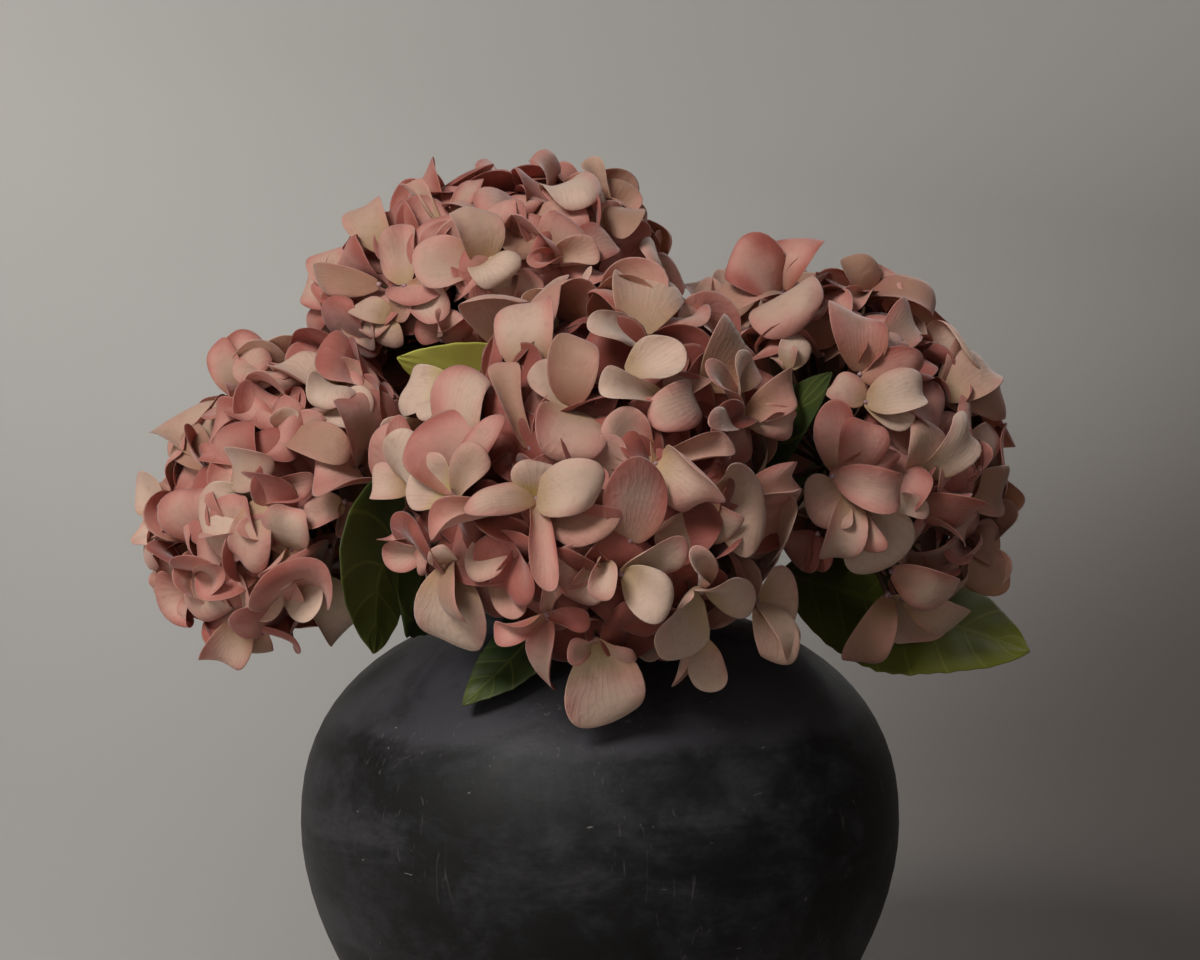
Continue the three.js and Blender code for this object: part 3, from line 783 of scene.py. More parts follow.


# %% [markdown]
# ## Florets drawn by chance
#
# The rest of each dome is filled by chance: four sepals round a heart, opposite pairs over each
# other. Wide open a floret is nearly flat, and half shut its sepals stand up. A new heart that
# would come too near to another or to a neighbouring head or leaf is left out, and so is a sepal
# that would hide a leaf in the front view. Under the listed sepals the florets sit
# deeper, so that they fill the gaps and no more. The draw is seeded: each run gives the same.

# %% Draw a floret
SEPALS = 4
OPEN_REACH = 33 * MM
SHUT_REACH = 23 * MM
OPEN_RISE = 8 * MM
SHUT_RISE = 17 * MM
SEPAL_BREADTH = 34 * MM
FLORET_SIZES = (0.88, 1.1)
REACH_SPREAD = (0.88, 1.12)
RISE_SPREAD = (0.6, 1.25)
BREADTH_SPREAD = (0.85, 1.15)
SPLAY = 0.18  # the most that a sepal points aside of its quarter, in radians
OVER = 1.0 * MM  # how much higher one pair of opposite sepals lies
UNDER = 0.6 * MM  # how much lower the other pair lies
ROOT_OUT = 1.5 * MM  # from the heart, so that the roots don't meet in a point
ROOT_SUNK = 1 * MM
SPACING = 18 * MM
LEAST_ROOM = 6 * MM  # between a heart and the planes round its head
SUNK = {"front": 10 * MM, "left": 7 * MM, "right": 9 * MM, "top": 10.5 * MM, "back": 0}
COVERED_TO = math.cos(math.radians(128))  # the dome has florets to this angle from its axis
TURNED_AWAY = 0.1  # how far a place faces off the camera before it counts as unseen
MOST_SHUT_UNDER = 0.25
TRIES = 2500
LEAF_WINDOWS = [  # two corners and how far the leaf is from the camera, in metres
    ((396, 338), (474, 386), 1.11),  # the lime leaf
    ((346, 505), (384, 650), 1.08),  # the wavy leaf
    ((392, 590), (425, 655), 1.08),
    ((784, 376), (832, 466), 1.08),  # the glossy leaf
    ((464, 624), (520, 700), 1.05),  # the leaf draped over the shoulder
    ((786, 548), (884, 655), 1.12),  # the long leaf
]


def between(low, high, share):
    """A value a share of the way from one to another."""
    return low + (high - low) * share


def shows_at(point):
    """The column and row of the front view where a point shows."""
    ray = point - EYE
    ray *= VIEW_DISTANCE / ray.dot(AHEAD)
    return VIEW_MIDDLE[0] + ray.x / VIEW_STEP, VIEW_MIDDLE[1] - ray.dot(UPWARD) / VIEW_STEP


def covers_leaf(point):
    """Whether a point would hide a leaf that shows between the heads."""
    column, row = shows_at(point)
    ahead = (point - EYE).dot(AHEAD)
    return any(low[0] < column < high[0] and low[1] < row < high[1] and ahead < away
               for low, high, away in LEAF_WINDOWS)


def drawn_form(draw, shut):
    """The bends of a sepal. A floret that is half shut has hollow sepals."""
    return {
        "arch": between(draw.uniform(0.2, 1.3), draw.uniform(-1.8, 0.0), shut),
        "hook": draw.uniform(0, 1.4),
        "cup": draw.uniform(0.1, 1.5),
        "roll": draw.uniform(-2.9, -0.9),
        "twist": draw.uniform(-0.5, 0.5),
    }


def lay_floret(bm, heart, outward, tone, shut, draw, planes):
    """Four sepals round a heart. Returns how many there is room for."""
    laid = 0
    spin = draw.uniform(0, math.pi / 2)
    side = Z_AXIS.cross(outward)
    side = side.normalized() if side.length > 0.01 else Vector((1, 0, 0))
    ahead = outward.cross(side)
    size = draw.uniform(*FLORET_SIZES)
    for number in range(SEPALS):
        angle = spin + number * math.tau / SEPALS + draw.uniform(-SPLAY, SPLAY)
        away = side * math.cos(angle) + ahead * math.sin(angle)
        over = OVER if number % 2 else -UNDER
        reach = between(OPEN_REACH, SHUT_REACH, shut) * size * draw.uniform(*REACH_SPREAD)
        rise = between(OPEN_RISE, SHUT_RISE, shut) * size * draw.uniform(*RISE_SPREAD) + over
        root = heart + away * ROOT_OUT + outward * (over - ROOT_SUNK)
        tip = heart + away * reach + outward * rise
        broad = SEPAL_BREADTH * size * draw.uniform(*BREADTH_SPREAD)
        form = drawn_form(draw, shut)
        points = bent_sepal(root, tip, outward, broad, form, draw, planes)
        if not any(covers_leaf(point) for point in points):
            lay_sepal(bm, points, drawn_tone(draw, tone))
            laid += 1
    return laid


def lay_drawn(bm, name, hearts, draw, planes):
    """Fills the rest of a head. Adds to the list of hearts."""
    bloom = BLOOMS[name]
    for _ in range(TRIES):
        up, turn = draw.uniform(COVERED_TO, 1), draw.uniform(0, math.tau)
        out = math.sqrt(1 - up * up)
        direction = Vector((out * math.cos(turn), out * math.sin(turn), up))
        heart, outward = on_dome(bloom, direction)
        seen = bool(SEEN[name]) and outward.dot(AHEAD) < TURNED_AWAY
        if seen:
            heart = heart - outward * SUNK[name]
        free = all((heart - on_plane).dot(normal) > LEAST_ROOM for on_plane, normal in planes)
        if free and all((heart - other).length > SPACING for other, _ in hearts):
            tone = draw.choice(UNDER_TONES[name] if seen else PALETTES[name])
            shut = draw.uniform(0, MOST_SHUT_UNDER) if seen else draw.random()
            if lay_floret(bm, heart, outward, tone, shut, draw, planes):
                hearts.append((heart, outward))


# %% [markdown]
# ## The petal material
#
# Dyed cloth is matt, a little furry, and darker along its veins. The veins fan out from the root,
# so they come from the angle round the root on the UV map, and the colour of the root comes from
# the same map. The rim's colours follow the blank's "rim" attribute, and blotches follow noise.
# A painted highlight runs along the rim, and painted shade darkens the roots and the deepest folds.

# %% Petal colours
CREAM = colour(216, 184, 164)
AGED = colour(174, 132, 110)
PINK = colour(205, 144, 131)
ROSE = colour(170, 95, 84)
SAP = colour(202, 176, 110)
# Painted shade: the red-brown that stands for shade in folds, in gaps and at the root
PAINTED_SHADE = colour(124, 60, 48)
VEIN = colour(130, 78, 66)
# Painted highlight along the rim
PAINTED_RIM_HIGHLIGHT = colour(230, 200, 182)
VEINS = 60  # stripes in a whole turn round the root
PATCHES_PER_METRE = 42
SPECKLES_PER_METRE = 260
WRINKLES_PER_METRE = 160
WEAVE_PER_METRE = 1300
CLOTH = {
    "Roughness": 0.62, "Specular IOR Level": 0.3, "Sheen Weight": 0.3, "Sheen Roughness": 0.4,
    "Subsurface Weight": 0.12, "Subsurface Scale": 0.003, "Subsurface Radius": (1, 0.45, 0.35),
}


def petal_veins(cloth, place):
    """Stripes that fan out from the root, broken up by noise."""
    aside = cloth.math("SUBTRACT", place["X"], 0.5)
    fan = cloth.math("ARCTAN2", aside, cloth.math("ADD", place["Y"], 0.25))
    wander = cloth.math("MULTIPLY", cloth.noise(60, 2), 0.3)
    stripes = cloth.math("SINE", cloth.math("MULTIPLY", cloth.math("ADD", fan, wander), VEINS))
    broken = cloth.ramp(cloth.noise(33, 1), 0.35, 0.65)
    return cloth.math("MULTIPLY", cloth.ramp(stripes, 0.2, 1), broken)


def dyed_and_fold_shaded(cloth, blush, aged):
    """Cream or taupe where the blush is thin, then pink and rose, and past them a painted red-brown
    shade of folds.
    """
    pinks = cloth.mix(cloth.ramp(blush, 0.7, 1.6), PINK, ROSE)
    petal = cloth.mix(cloth.ramp(blush, 0.0, 1.0), cloth.mix(aged, CREAM, AGED), pinks)
    return cloth.mix(cloth.ramp(blush, 1.5, 2.2), petal, PAINTED_SHADE)


def rooted(cloth, petal, height, sap):
    """Painted shade at the root where there is no sap, and a yellow-green root where there is."""
    dry = cloth.math("SUBTRACT", 1, sap, clamp=True)
    # Painted shade: the root darkens towards the heart unless it is sappy
    painted_root_shade = cloth.math("MULTIPLY", dry, cloth.ramp(height, 0.5, 0.0))
    petal = cloth.mix(cloth.math("MULTIPLY", painted_root_shade, 0.6), petal, PAINTED_SHADE)
    return cloth.mix(cloth.math("MULTIPLY", sap, cloth.ramp(height, 0.5, 0.05)), petal, SAP)


def petal_colour(cloth, place, vein):
    """The tone's four shares as colours, with veins, speckles and a painted highlight along the rim.
    """
    tone = cloth.node("Attribute", attribute_name="petal_tone").outputs
    shares = cloth.node("SeparateColor", {"Color": tone["Color"]}).outputs
    rim = cloth.node("Attribute", attribute_name="rim").outputs["Fac"]
    outer = cloth.math("MULTIPLY", shares["Green"], cloth.ramp(rim, 0.15, 1.0))
    patches = cloth.noise(PATCHES_PER_METRE, 1.5)
    patched = cloth.math("MULTIPLY", cloth.math("SUBTRACT", patches, 0.5), 1.9)
    blush = cloth.math("ADD", shares["Red"], patched)
    blush = cloth.math("ADD", blush, cloth.math("MULTIPLY", outer, 0.8))
    petal = rooted(cloth, dyed_and_fold_shaded(cloth, blush, tone["Alpha"]), place["Y"], shares["Blue"])
    petal = cloth.mix(cloth.math("MULTIPLY", vein, 0.06), petal, VEIN)
    speckle = cloth.ramp(cloth.noise(SPECKLES_PER_METRE, 4), 0.5, 0.75)
    petal = cloth.mix(cloth.math("MULTIPLY", speckle, 0.14), petal, VEIN)
    # Painted highlight: a pale line along the rim
    edge = cloth.math("MULTIPLY", cloth.ramp(rim, 0.96, 1.0), 0.1)
    return cloth.mix(edge, petal, PAINTED_RIM_HIGHLIGHT)


# %% Petal cloth
def petal_cloth():
    """Matt cloth in its dye colours, with painted shade and highlight, fine veins, soft wrinkles and
    a weave.
    """
    cloth = Shader("petal_cloth", **CLOTH)
    flat = cloth.node("UVMap", uv_map="flat").outputs[0]
    place = cloth.node("SeparateXYZ", {0: flat}).outputs
    vein = petal_veins(cloth, place)
    cloth.feed(cloth.surface.inputs["Base Color"], petal_colour(cloth, place, vein))
    relief = cloth.bump(vein, 0.2, 0.0003)
    wrinkles = cloth.noise(WRINKLES_PER_METRE, 3, distortion=1.0)
    relief = cloth.bump(wrinkles, 0.35, 0.0012, relief)
    weave = cloth.bump(cloth.noise(WEAVE_PER_METRE, 3), 0.3, 0.0002, relief)
    cloth.feed(cloth.surface.inputs["Normal"], weave)
    return cloth.material


PETAL_CLOTH = petal_cloth()


# %% [markdown]
# ## The heads
#
# A head becomes two pieces, so that neither gets too heavy: "petals" are the listed sepals, and
# "filling" the drawn ones. The back head has filling alone.

# %% Build the heads
FIRST_SEED = 100


def build_head(name, number):
    """A head's two pieces. Returns the hearts their sepals grow from."""
    draw = random.Random(FIRST_SEED + number)
    planes = planes_round(name)
    placed, drawn = petal_bmesh(), petal_bmesh()
    hearts, deeper = lay_seen(placed, name, draw, planes)
    lay_drawn(drawn, name, hearts, draw, planes)
    slot, node = f"petals_{name}", f"bloom_{name}"
    for layer, bm in (("petals", placed), ("filling", drawn)):
        if bm.faces:
            modifiers = [sheet_of(SEPAL_THICKNESS), SMOOTHED]
            finish_piece(bm, f"{layer}_{name}", PETAL_CLOTH, node, modifiers)
    return hearts + deeper


HEARTS = {name: build_head(name, number) for number, name in enumerate(BLOOMS)}
print("florets:", {name: len(hearts) for name, hearts in HEARTS.items()})

# %% [markdown]
# ## Rods
#
# Stems and stalks are rods along a path. A ring is extruded from one point of the path to the
# next and turned with it, and both ends are closed.

# %% Sweep a rod
def smooth_path(points, steps):
    """Points of a curve that passes through all the given ones."""
    ends = [points[0] * 2 - points[1], *points, points[-1] * 2 - points[-2]]
    path = []
    spans = len(points) - 1
    for step in range(steps + 1):
        at = min(step / steps * spans, spans - 1e-9)
        a, b, c, d = ends[int(at):int(at) + 4]
        t = at - int(at)
        path.append(((b * 2) + (c - a) * t + (a * 2 - b * 5 + c * 4 - d) * t * t
                     + (b * 3 - a - c * 3 + d) * t**3) / 2)
    return path


def add_rod(bm, path, radii, sides):
    """A closed round rod along a path, with a radius for each of its points."""
    heading = (path[1] - path[0]).normalized()
    turn = Z_AXIS.rotation_difference(heading)
    place = Matrix.LocRotScale(path[0], turn, Vector((radii[0],) * 3))
    circle = {"cap_ends": False, "segments": sides, "radius": 1, "matrix": place}
    ring = bmesh.ops.create_circle(bm, **circle)["verts"]
    edges = list(dict.fromkeys(edge for vert in ring for edge in vert.link_edges))
    caps = [edges]
    for step in range(1, len(path)):
        onward = (path[min(step + 1, len(path) - 1)] - path[step - 1]).normalized()
        turn = heading.rotation_difference(onward) @ turn
        heading = onward
        made = bmesh.ops.extrude_edge_only(bm, edges=edges)["geom"]
        ring = [part for part in made if isinstance(part, bmesh.types.BMVert)]
        edges = [part for part in made if isinstance(part, bmesh.types.BMEdge)]
        edges = [edge for edge in edges if all(vert in ring for vert in edge.verts)]
        following = Matrix.LocRotScale(path[step], turn, Vector((radii[step],) * 3))
        bmesh.ops.transform(bm, matrix=following @ place.inverted(), verts=ring)
        place = following
    caps.append(edges)
    for cap in caps:
        bmesh.ops.contextual_create(bm, geom=cap)


# %% [markdown]
# ## Stalks and hearts
#
# Inside a head thin stalks branch from the stem's end to the florets, and each floret has a pale
# bead at its heart. They show only between the sepals, so a few sides are enough.

# %% Grow the stalks
STALK_SIDES = 5
STALK_STEPS = 5
STALK_RADIUS = 0.9 * MM
STALK_BASE = 1.5  # how much thicker a stalk starts
CORE_INSET = 15 * MM
HUB_RADIUS = 4.5 * MM
HUB_RISE = 5 * MM
FORK_SHARE = 0.45  # where a stalk bends, from the head's middle to its heart
FORK_DROP = 4 * MM
HEART_RADIUS = 1.2 * MM
HEART_SUNK = 0.2 * MM


def seat_of(bloom):
    """Where the stem's end enters the head."""
    return bloom["centre"] - bloom["axis"] * (bloom["tall"] - CORE_INSET) * UNDERSIDE_SHARE


def stalk_green(name, green, brown):
    """Woody green with brown streaks."""
    stalk = Shader(name, **{"Roughness": 0.6, "Specular IOR Level": 0.3})
    streaks = stalk.ramp(stalk.noise(90, 3), 0.35, 0.65)
    stalk.feed(stalk.surface.inputs["Base Color"], stalk.mix(streaks, green, brown))
    stalk.feed(stalk.surface.inputs["Normal"], stalk.bump(stalk.noise(500, 2), 0.2, 0.0003))
    return stalk.material


STALK_GREEN = stalk_green("stalk_green", colour(66, 58, 38), colour(84, 56, 42))


def bead_pink():
    """The shiny bead at a floret's heart."""
    bead = Shader("bead", **{"Roughness": 0.35, "Subsurface Weight": 0.2, "Subsurface Scale": 0.002})
    mottled = bead.ramp(bead.noise(700, 2), 0.4, 0.6)
    tint = bead.mix(mottled, colour(190, 156, 158), colour(150, 110, 116))
    bead.feed(bead.surface.inputs["Base Color"], tint)
    return bead.material


BEAD_PINK = bead_pink()


def add_ball(bm, centre, radius):
    """A small round ball."""
    place = Matrix.Translation(centre)
    bmesh.ops.create_icosphere(bm, subdivisions=2, radius=radius, matrix=place)


def build_inside(name):
    """The stalks of a head, and a bead at each heart."""
    bloom = BLOOMS[name]
    hub = seat_of(bloom) + bloom["axis"] * HUB_RISE
    planes = planes_round(name)
    stalks, beads = bmesh.new(), bmesh.new()
    for heart, outward in HEARTS[name]:
        fork = bloom["centre"].lerp(heart, FORK_SHARE) - bloom["axis"] * FORK_DROP
        path = smooth_path([hub, fork, heart], STALK_STEPS)
        path = [clear_of_neighbours(point, planes) for point in path]
        radii = [STALK_RADIUS * STALK_BASE] + [STALK_RADIUS] * STALK_STEPS
        add_rod(stalks, path, radii, STALK_SIDES)
        add_ball(beads, clear_of_neighbours(heart - outward * HEART_SUNK, planes), HEART_RADIUS)
    add_ball(stalks, hub, HUB_RADIUS)
    bmesh.ops.recalc_face_normals(stalks, faces=stalks.faces)
    finish_piece(stalks, f"stalks_{name}", STALK_GREEN, f"bloom_{name}")
    finish_piece(beads, f"hearts_{name}", BEAD_PINK, f"bloom_{name}")


for name in BLOOMS:
    build_inside(name)

# %% [markdown]
# ## Stems
#
# Each stem climbs from the vase's floor, leans in the mouth and ends in its head. Its three
# bends, in millimetres, are those of the CAD model: low in the vase, in the mouth and above it.

# %% Grow the stems
STEM_RADIUS = 2.6 * MM
STEM_SIDES = 12
STEM_STEPS = 30
FLOOR_HEIGHT = 9.3 * MM
FOOT_SHARE = 0.9  # how far from the axis the foot stands, as a share of the lowest bend
SEATED = 6 * MM  # how deep the end sits in the head
STEMS = {
    "front": [(-2, -24, 120), (-4, -39, 214), (-4, -46, 236)],
    "left": [(-26, 2, 120), (-37, 3, 214), (-62, 4, 240)],
    "right": [(25, 8, 120), (34, 12, 214), (60, 16, 246)],
    "top": [(-6, 6, 120), (-12, 12, 214), (-25, 26, 262)],
    "back": [(12, 23, 120), (17, 32, 214), (40, 54, 250)],
}
STEM_GREEN = stalk_green("stem_green", colour(74, 88, 48), colour(98, 92, 60))


def build_stem(name, points):
    """One stem, from the floor into its head."""
    low, rim, bend = [Vector(point) * MM for point in points]
    foot = Vector((low.x * FOOT_SHARE, low.y * FOOT_SHARE, FLOOR_HEIGHT))
    seat = seat_of(BLOOMS[name])
    end = seat + BLOOMS[name]["axis"] * SEATED
    path = smooth_path([foot, low, rim, bend, seat, end], STEM_STEPS)
    bm = bmesh.new()
    add_rod(bm, path, [STEM_RADIUS] * len(path), STEM_SIDES)
    bmesh.ops.recalc_face_normals(bm, faces=bm.faces)
    finish_piece(bm, f"stem_rod_{name}", STEM_GREEN, f"stem_{name}")


for name, points in STEMS.items():
    build_stem(name, points)

# %% [markdown]
# ## Leaves
#
# A hydrangea leaf is oval with a saw-toothed edge, a strong midrib and side veins that run
# forward to the teeth. A grid gives the blade its faces: its long edges become the margin, and
# the vertices over a vein sink a little, so the blade looks quilted. A leaf lies in the plane
# that parts two heads, in a plane of its own under its head, or over the vase's shoulder. Its
# `rib` runs from its stem to its tip, `half` is half its width, and both are in millimetres. A
# pair of numbers in a rib is a column and row of the front view.

# %% The six leaves
LEAF_LONG = 40
LEAF_ACROSS = 12
LEAF_THICKNESS = 0.7 * MM
PETIOLE_SHARE = 0.22
PETIOLE_HALF = 1.7 * MM
TIP_SHARE = 0.9
TIP_HALF = 0.2 * MM
BROAD_BASE = 0.8  # below 1 the broadest place is nearer to the stalk
FULLNESS = 0.75  # below 1 the sides are fuller than a sine
TOOTH = 0.07
SWEPT = 0.1  # how far the margin leans towards the tip, as a share of the width
SIDE_VEINS = 8
VEIN_LAG = 0.12  # how far forward a side vein runs, as a share of the length
QUILT = 0.7 * MM
QUILT_FADE = 3
QUILTED_FROM = 0.05
RIPPLE = 0.5 * MM
RIPPLE_TURN = 17
RIPPLE_SLANT = 1.5
FLAT_FROM = 0.25  # from here to the tip the blade lies in its plane
CLEAR_FROM = 0.15  # from here to the tip it stays off the vase
DRAPE_GAP = 1.9 * MM
LEAVES = {
    "lime": {"stem": "top", "beside": "front", "half": 22, "age": 1.0,
             "rib": [(-14, 14, 228), (-22, -2, 262), (500, 392), (397, 358)]},
    "wavy": {"stem": "left", "beside": "front", "half": 35, "age": 0.3,
             "rib": [(-42, 3, 221), (-56, -14, 236), (388, 560), (374, 654)]},
    "glossy": {"stem": "right", "beside": "front", "half": 24, "age": 0.0,
               "rib": [(35, 14, 216), (30, -12, 246), (832, 372)]},
    "long": {"stem": "right", "half": 44, "age": 0.79, "own_plane": "right",
             "rib": [(52, 15, 236), (860, 596), (1030, 652)]},
    "tucked": {"stem": "left", "half": 22, "age": 0.2, "own_plane": "left",
               "rib": [(-60, 4, 236), (335, 585), (278, 617)]},
    "draped": {"stem": "front", "half": 16, "age": 0.1,
               "rib": [(-4, -41, 222), (-10, -56, 233), (-32, -84, 208), (-52, -95, 189)]},
}


def leaf_plane(leaf):
    """The plane a leaf lies in, or nothing for one that is draped."""
    if "beside" in leaf:
        return parting_plane(leaf["stem"], leaf["beside"])
    return LEAF_PLANES[leaf["own_plane"]] if "own_plane" in leaf else None


# %% Shape a leaf
def leaf_rib(leaf, plane):
    """The midrib's points. A pair is met in the leaf's plane, along the camera's line of sight."""
    rib = []
    for point in leaf["rib"]:
        if len(point) == 3:
            rib.append(Vector(point) * MM)
        else:
            rib.append(intersect_line_plane(EYE, EYE + sight(point), *plane))
    return smooth_path(rib, LEAF_LONG)


def leaf_blank():
    """A flat grid from -1 to 1, with its UV map."""
    bm = bmesh.new()
    bmesh.ops.create_grid(bm, x_segments=LEAF_LONG, y_segments=LEAF_ACROSS, size=1)
    flat = bm.loops.layers.uv.new("flat")
    for face in bm.faces:
        for loop in face.loops:
            loop[flat].uv = ((loop.vert.co.x + 1) / 2, (loop.vert.co.y + 1) / 2)
    return bm


def blade_half(half, blade, step, across):
    """Half the blade's width at a share of its length. Each second step is a tooth's notch."""
    if not 0 < blade < 1:
        return 0
    tooth = 1 - TOOTH * (step % 2) * abs(across) ** 4
    return half * math.sin(math.pi * blade**BROAD_BASE) ** FULLNESS * tooth


def blade_relief(blade, across):
    """How high the blade stands between its side veins and in its ripples."""
    quilt = ripple = 0
    if blade > QUILTED_FROM:
        vein = math.cos(math.tau * SIDE_VEINS * (blade - abs(across) * VEIN_LAG))
        quilt = math.sqrt(0.5 - 0.5 * vein) * min(1, abs(across) * QUILT_FADE) * QUILT
    if blade > 0:
        ripple = math.sin(blade * RIPPLE_TURN + across * RIPPLE_SLANT) * across**2 * RIPPLE
    return quilt + ripple


def leaf_point(leaf, plane, rib, step, across):
    """Where a point of the blank goes, by its step along the midrib and its place across."""
    share = step / LEAF_LONG
    blade = max(0, (share - PETIOLE_SHARE) / (1 - PETIOLE_SHARE))
    forward = (rib[min(step + 1, LEAF_LONG)] - rib[max(step - 1, 0)]).normalized()
    up = plane[1] if plane else (rib[step] - Z_AXIS * BELLY_HEIGHT * MM).normalized()
    out = forward.cross(up).normalized()
    body = blade_half(leaf["half"] * MM, blade, step, across)
    width = max(body, PETIOLE_HALF if share < TIP_SHARE else TIP_HALF)
    shift = abs(across) * SWEPT * body * (1 - blade)
    point = rib[step] + out * across * width + forward * shift
    if plane and blade > FLAT_FROM:
        point -= plane[1] * (point - plane[0]).dot(plane[1])
    if share > CLEAR_FROM:
        point = clear_of_vase(point, DRAPE_GAP)
    return point + up * blade_relief(blade, across)


def build_leaf(name, leaf):
    """One leaf with its stalk, on the stem that carries it."""
    plane = leaf_plane(leaf)
    rib = leaf_rib(leaf, plane)
    bm = leaf_blank()
    for vert in bm.verts:
        step = round((vert.co.x + 1) / 2 * LEAF_LONG)
        vert.co = leaf_point(leaf, plane, rib, step, vert.co.y)
    modifiers = [sheet_of(LEAF_THICKNESS), SMOOTHED]
    green = leaf_green(name, leaf["age"])
    finish_piece(bm, f"leaf_{name}", green, f"stem_{leaf['stem']}", modifiers)


# %% [markdown]
# ### The green of a leaf
#
# The sum that places the side veins in the blade is done again on its UV map, so the pale lines
# run where the blade is low. Blotches and the tip turn olive first, and the lime leaf is the
# oldest.

# %% Leaf material
DEEP_GREEN = colour(44, 62, 34)
OLIVE = colour(114, 118, 40)
LIME = colour(206, 206, 98)
LIME_AGE = 0.8  # from this age a leaf turns lime instead of olive


def leaf_green(name, age):
    """Waxy green with paler veins. An older leaf turns olive and yellow-green."""
    green = Shader(f"leaf_green_{name}", **{"Roughness": 0.52, "Specular IOR Level": 0.35})
    flat = green.node("UVMap", uv_map="flat").outputs[0]
    place = green.node("SeparateXYZ", {0: flat}).outputs
    aside = green.math("ABSOLUTE", green.math("SUBTRACT", green.math("MULTIPLY", place["Y"], 2), 1))
    blade = green.math("DIVIDE", green.math("SUBTRACT", place["X"], PETIOLE_SHARE), 1 - PETIOLE_SHARE)
    lag = green.math("SUBTRACT", blade, green.math("MULTIPLY", aside, VEIN_LAG))
    wave = green.math("COSINE", green.math("MULTIPLY", lag, math.tau * SIDE_VEINS))
    veins = green.math("MAXIMUM", green.ramp(wave, 0.93, 1.0), green.ramp(aside, 0.06, 0.02))
    blotch = green.noise(40, 4)
    tipward = green.math("MULTIPLY", green.math("SUBTRACT", blade, 0.6), 0.5)
    worn = green.math("ADD", green.math("MULTIPLY", blotch, 0.5), age - 0.3)
    worn = green.math("ADD", worn, tipward, clamp=True)
    young = green.mix(worn, DEEP_GREEN, OLIVE if age < LIME_AGE else LIME)
    veined = green.mix(green.math("MULTIPLY", veins, 0.09), young, LIME)
    green.feed(green.surface.inputs["Base Color"], veined)
    fine = green.bump(green.noise(900, 3), 0.15, 0.0002)
    green.feed(green.surface.inputs["Normal"], green.bump(veins, 0.2, 0.0002, fine))
    return green.material


for name, leaf in LEAVES.items():
    build_leaf(name, leaf)

# %% [markdown]
# ## The vase
#
# The vase is thrown or cast round, so its profile is spun about the axis. The profile's points
# are few and follow the CAD model: a foot, a belly as a curve, a shoulder that is squarer than
# an ellipse, and a rolled lip. The inside is spun with it, so that the wall is real.

# %% The vase's profile, in millimetres
FOOT_RADIUS = 69
FOOT_EDGE = 3
FLARE_OUT, FLARE_UP = 26, 45  # the belly's curve leaves the foot towards here
BELLY_PULL = 84  # and comes upright to the widest place from this height
SHOULDER_RISE = 91
SHOULDER_POWER = VASE_HULLS[0][3]
NECK_RADIUS = 55
MOUTH_RADIUS = 49
WALL = 7
FLOOR = 9
LIP = [(58, 217), (59, 221), (56, 224), (51, 224), (49, 221)]
SIDE_STEPS = 14
INSIDE_STEPS = 10
SPIN_STEPS = 96
MERGED = 0.01 * MM


def belly_side(inset, steps):
    """Radius and height pairs from the foot to the widest place, on one curve."""
    curve = [(FOOT_RADIUS, 0), (FOOT_RADIUS + FLARE_OUT, FLARE_UP), (BELLY_RADIUS, BELLY_PULL),
             (BELLY_RADIUS, BELLY_HEIGHT)]
    side = []
    for step in range(steps + 1):
        t = step / steps
        weights = ((1 - t) ** 3, 3 * (1 - t) ** 2 * t, 3 * (1 - t) * t * t, t**3)
        radius, height = [sum(w * point[axis] for w, point in zip(weights, curve)) for axis in (0, 1)]
        side.append((radius - inset, height))
    return side


def shoulder_side(inset, steps):
    """The pairs from the widest place to the neck, or to the mouth on the inside."""
    reach, rise = BELLY_RADIUS - inset, SHOULDER_RISE - inset
    neck = (MOUTH_RADIUS if inset else NECK_RADIUS) / reach
    last = math.acos(neck ** (SHOULDER_POWER / 2))
    side = []
    for step in range(1, steps + 1):
        angle = last * step / steps
        out, up = math.cos(angle) ** (2 / SHOULDER_POWER), math.sin(angle) ** (2 / SHOULDER_POWER)
        side.append((reach * out, BELLY_HEIGHT + rise * up))
    return side


def vase_side(inset, steps):
    """One face of the wall."""
    return belly_side(inset, steps) + shoulder_side(inset, steps)


# %% Spin the vase
def spun(profile, unit):
    """A profile of radius and height pairs, spun about the axis."""
    bm = bmesh.new()
    line = [bm.verts.new((radius * unit, 0, height * unit)) for radius, height in profile]
    edges = [bm.edges.new(pair) for pair in zip(line, line[1:])]
    bmesh.ops.spin(bm, geom=line + edges, cent=(0, 0, 0), axis=(0, 0, 1), angle=math.tau,
                   steps=SPIN_STEPS, use_merge=True)
    bmesh.ops.remove_doubles(bm, verts=bm.verts, dist=MERGED)
    bmesh.ops.recalc_face_normals(bm, faces=bm.faces)
    return bm


def build_vase(material):
    """The whole wall: the base, the outside, the lip, the inside and its floor."""
    outside = [(0, 0), (FOOT_RADIUS - FOOT_EDGE, 0), *vase_side(0, SIDE_STEPS)[1:]]
    inside = [point for point in vase_side(WALL, INSIDE_STEPS) if point[1] > FLOOR][::-1]
    floor = [(FOOT_RADIUS - WALL, FLOOR), (0, FLOOR)]
    finish_piece(spun([*outside, *LIP, *inside, *floor], MM), "vase_body", material, "vase")


# %% [markdown]
# ### The clay
#
# The clay is dark and matt. Its grey is three sizes of noise added up: wide clouds that lie flat,
# mottles, and grain. A pale band on the shoulder is partly settled dust and partly a painted
# reflection of the window. Upright scratches come from noise drawn out along the axis, and chips
# are the few peaks of another.

# %% Charcoal clay
CLAY_DARK = colour(12, 12, 13)
CLAY_PALE = colour(58, 57, 61)
CLAY_CHIP = colour(134, 130, 126)
CLOUDS_PER_METRE = 13
GRAIN_PER_METRE = 230
SCRATCHES_PER_METRE = 240
CHIPS_PER_METRE = 105


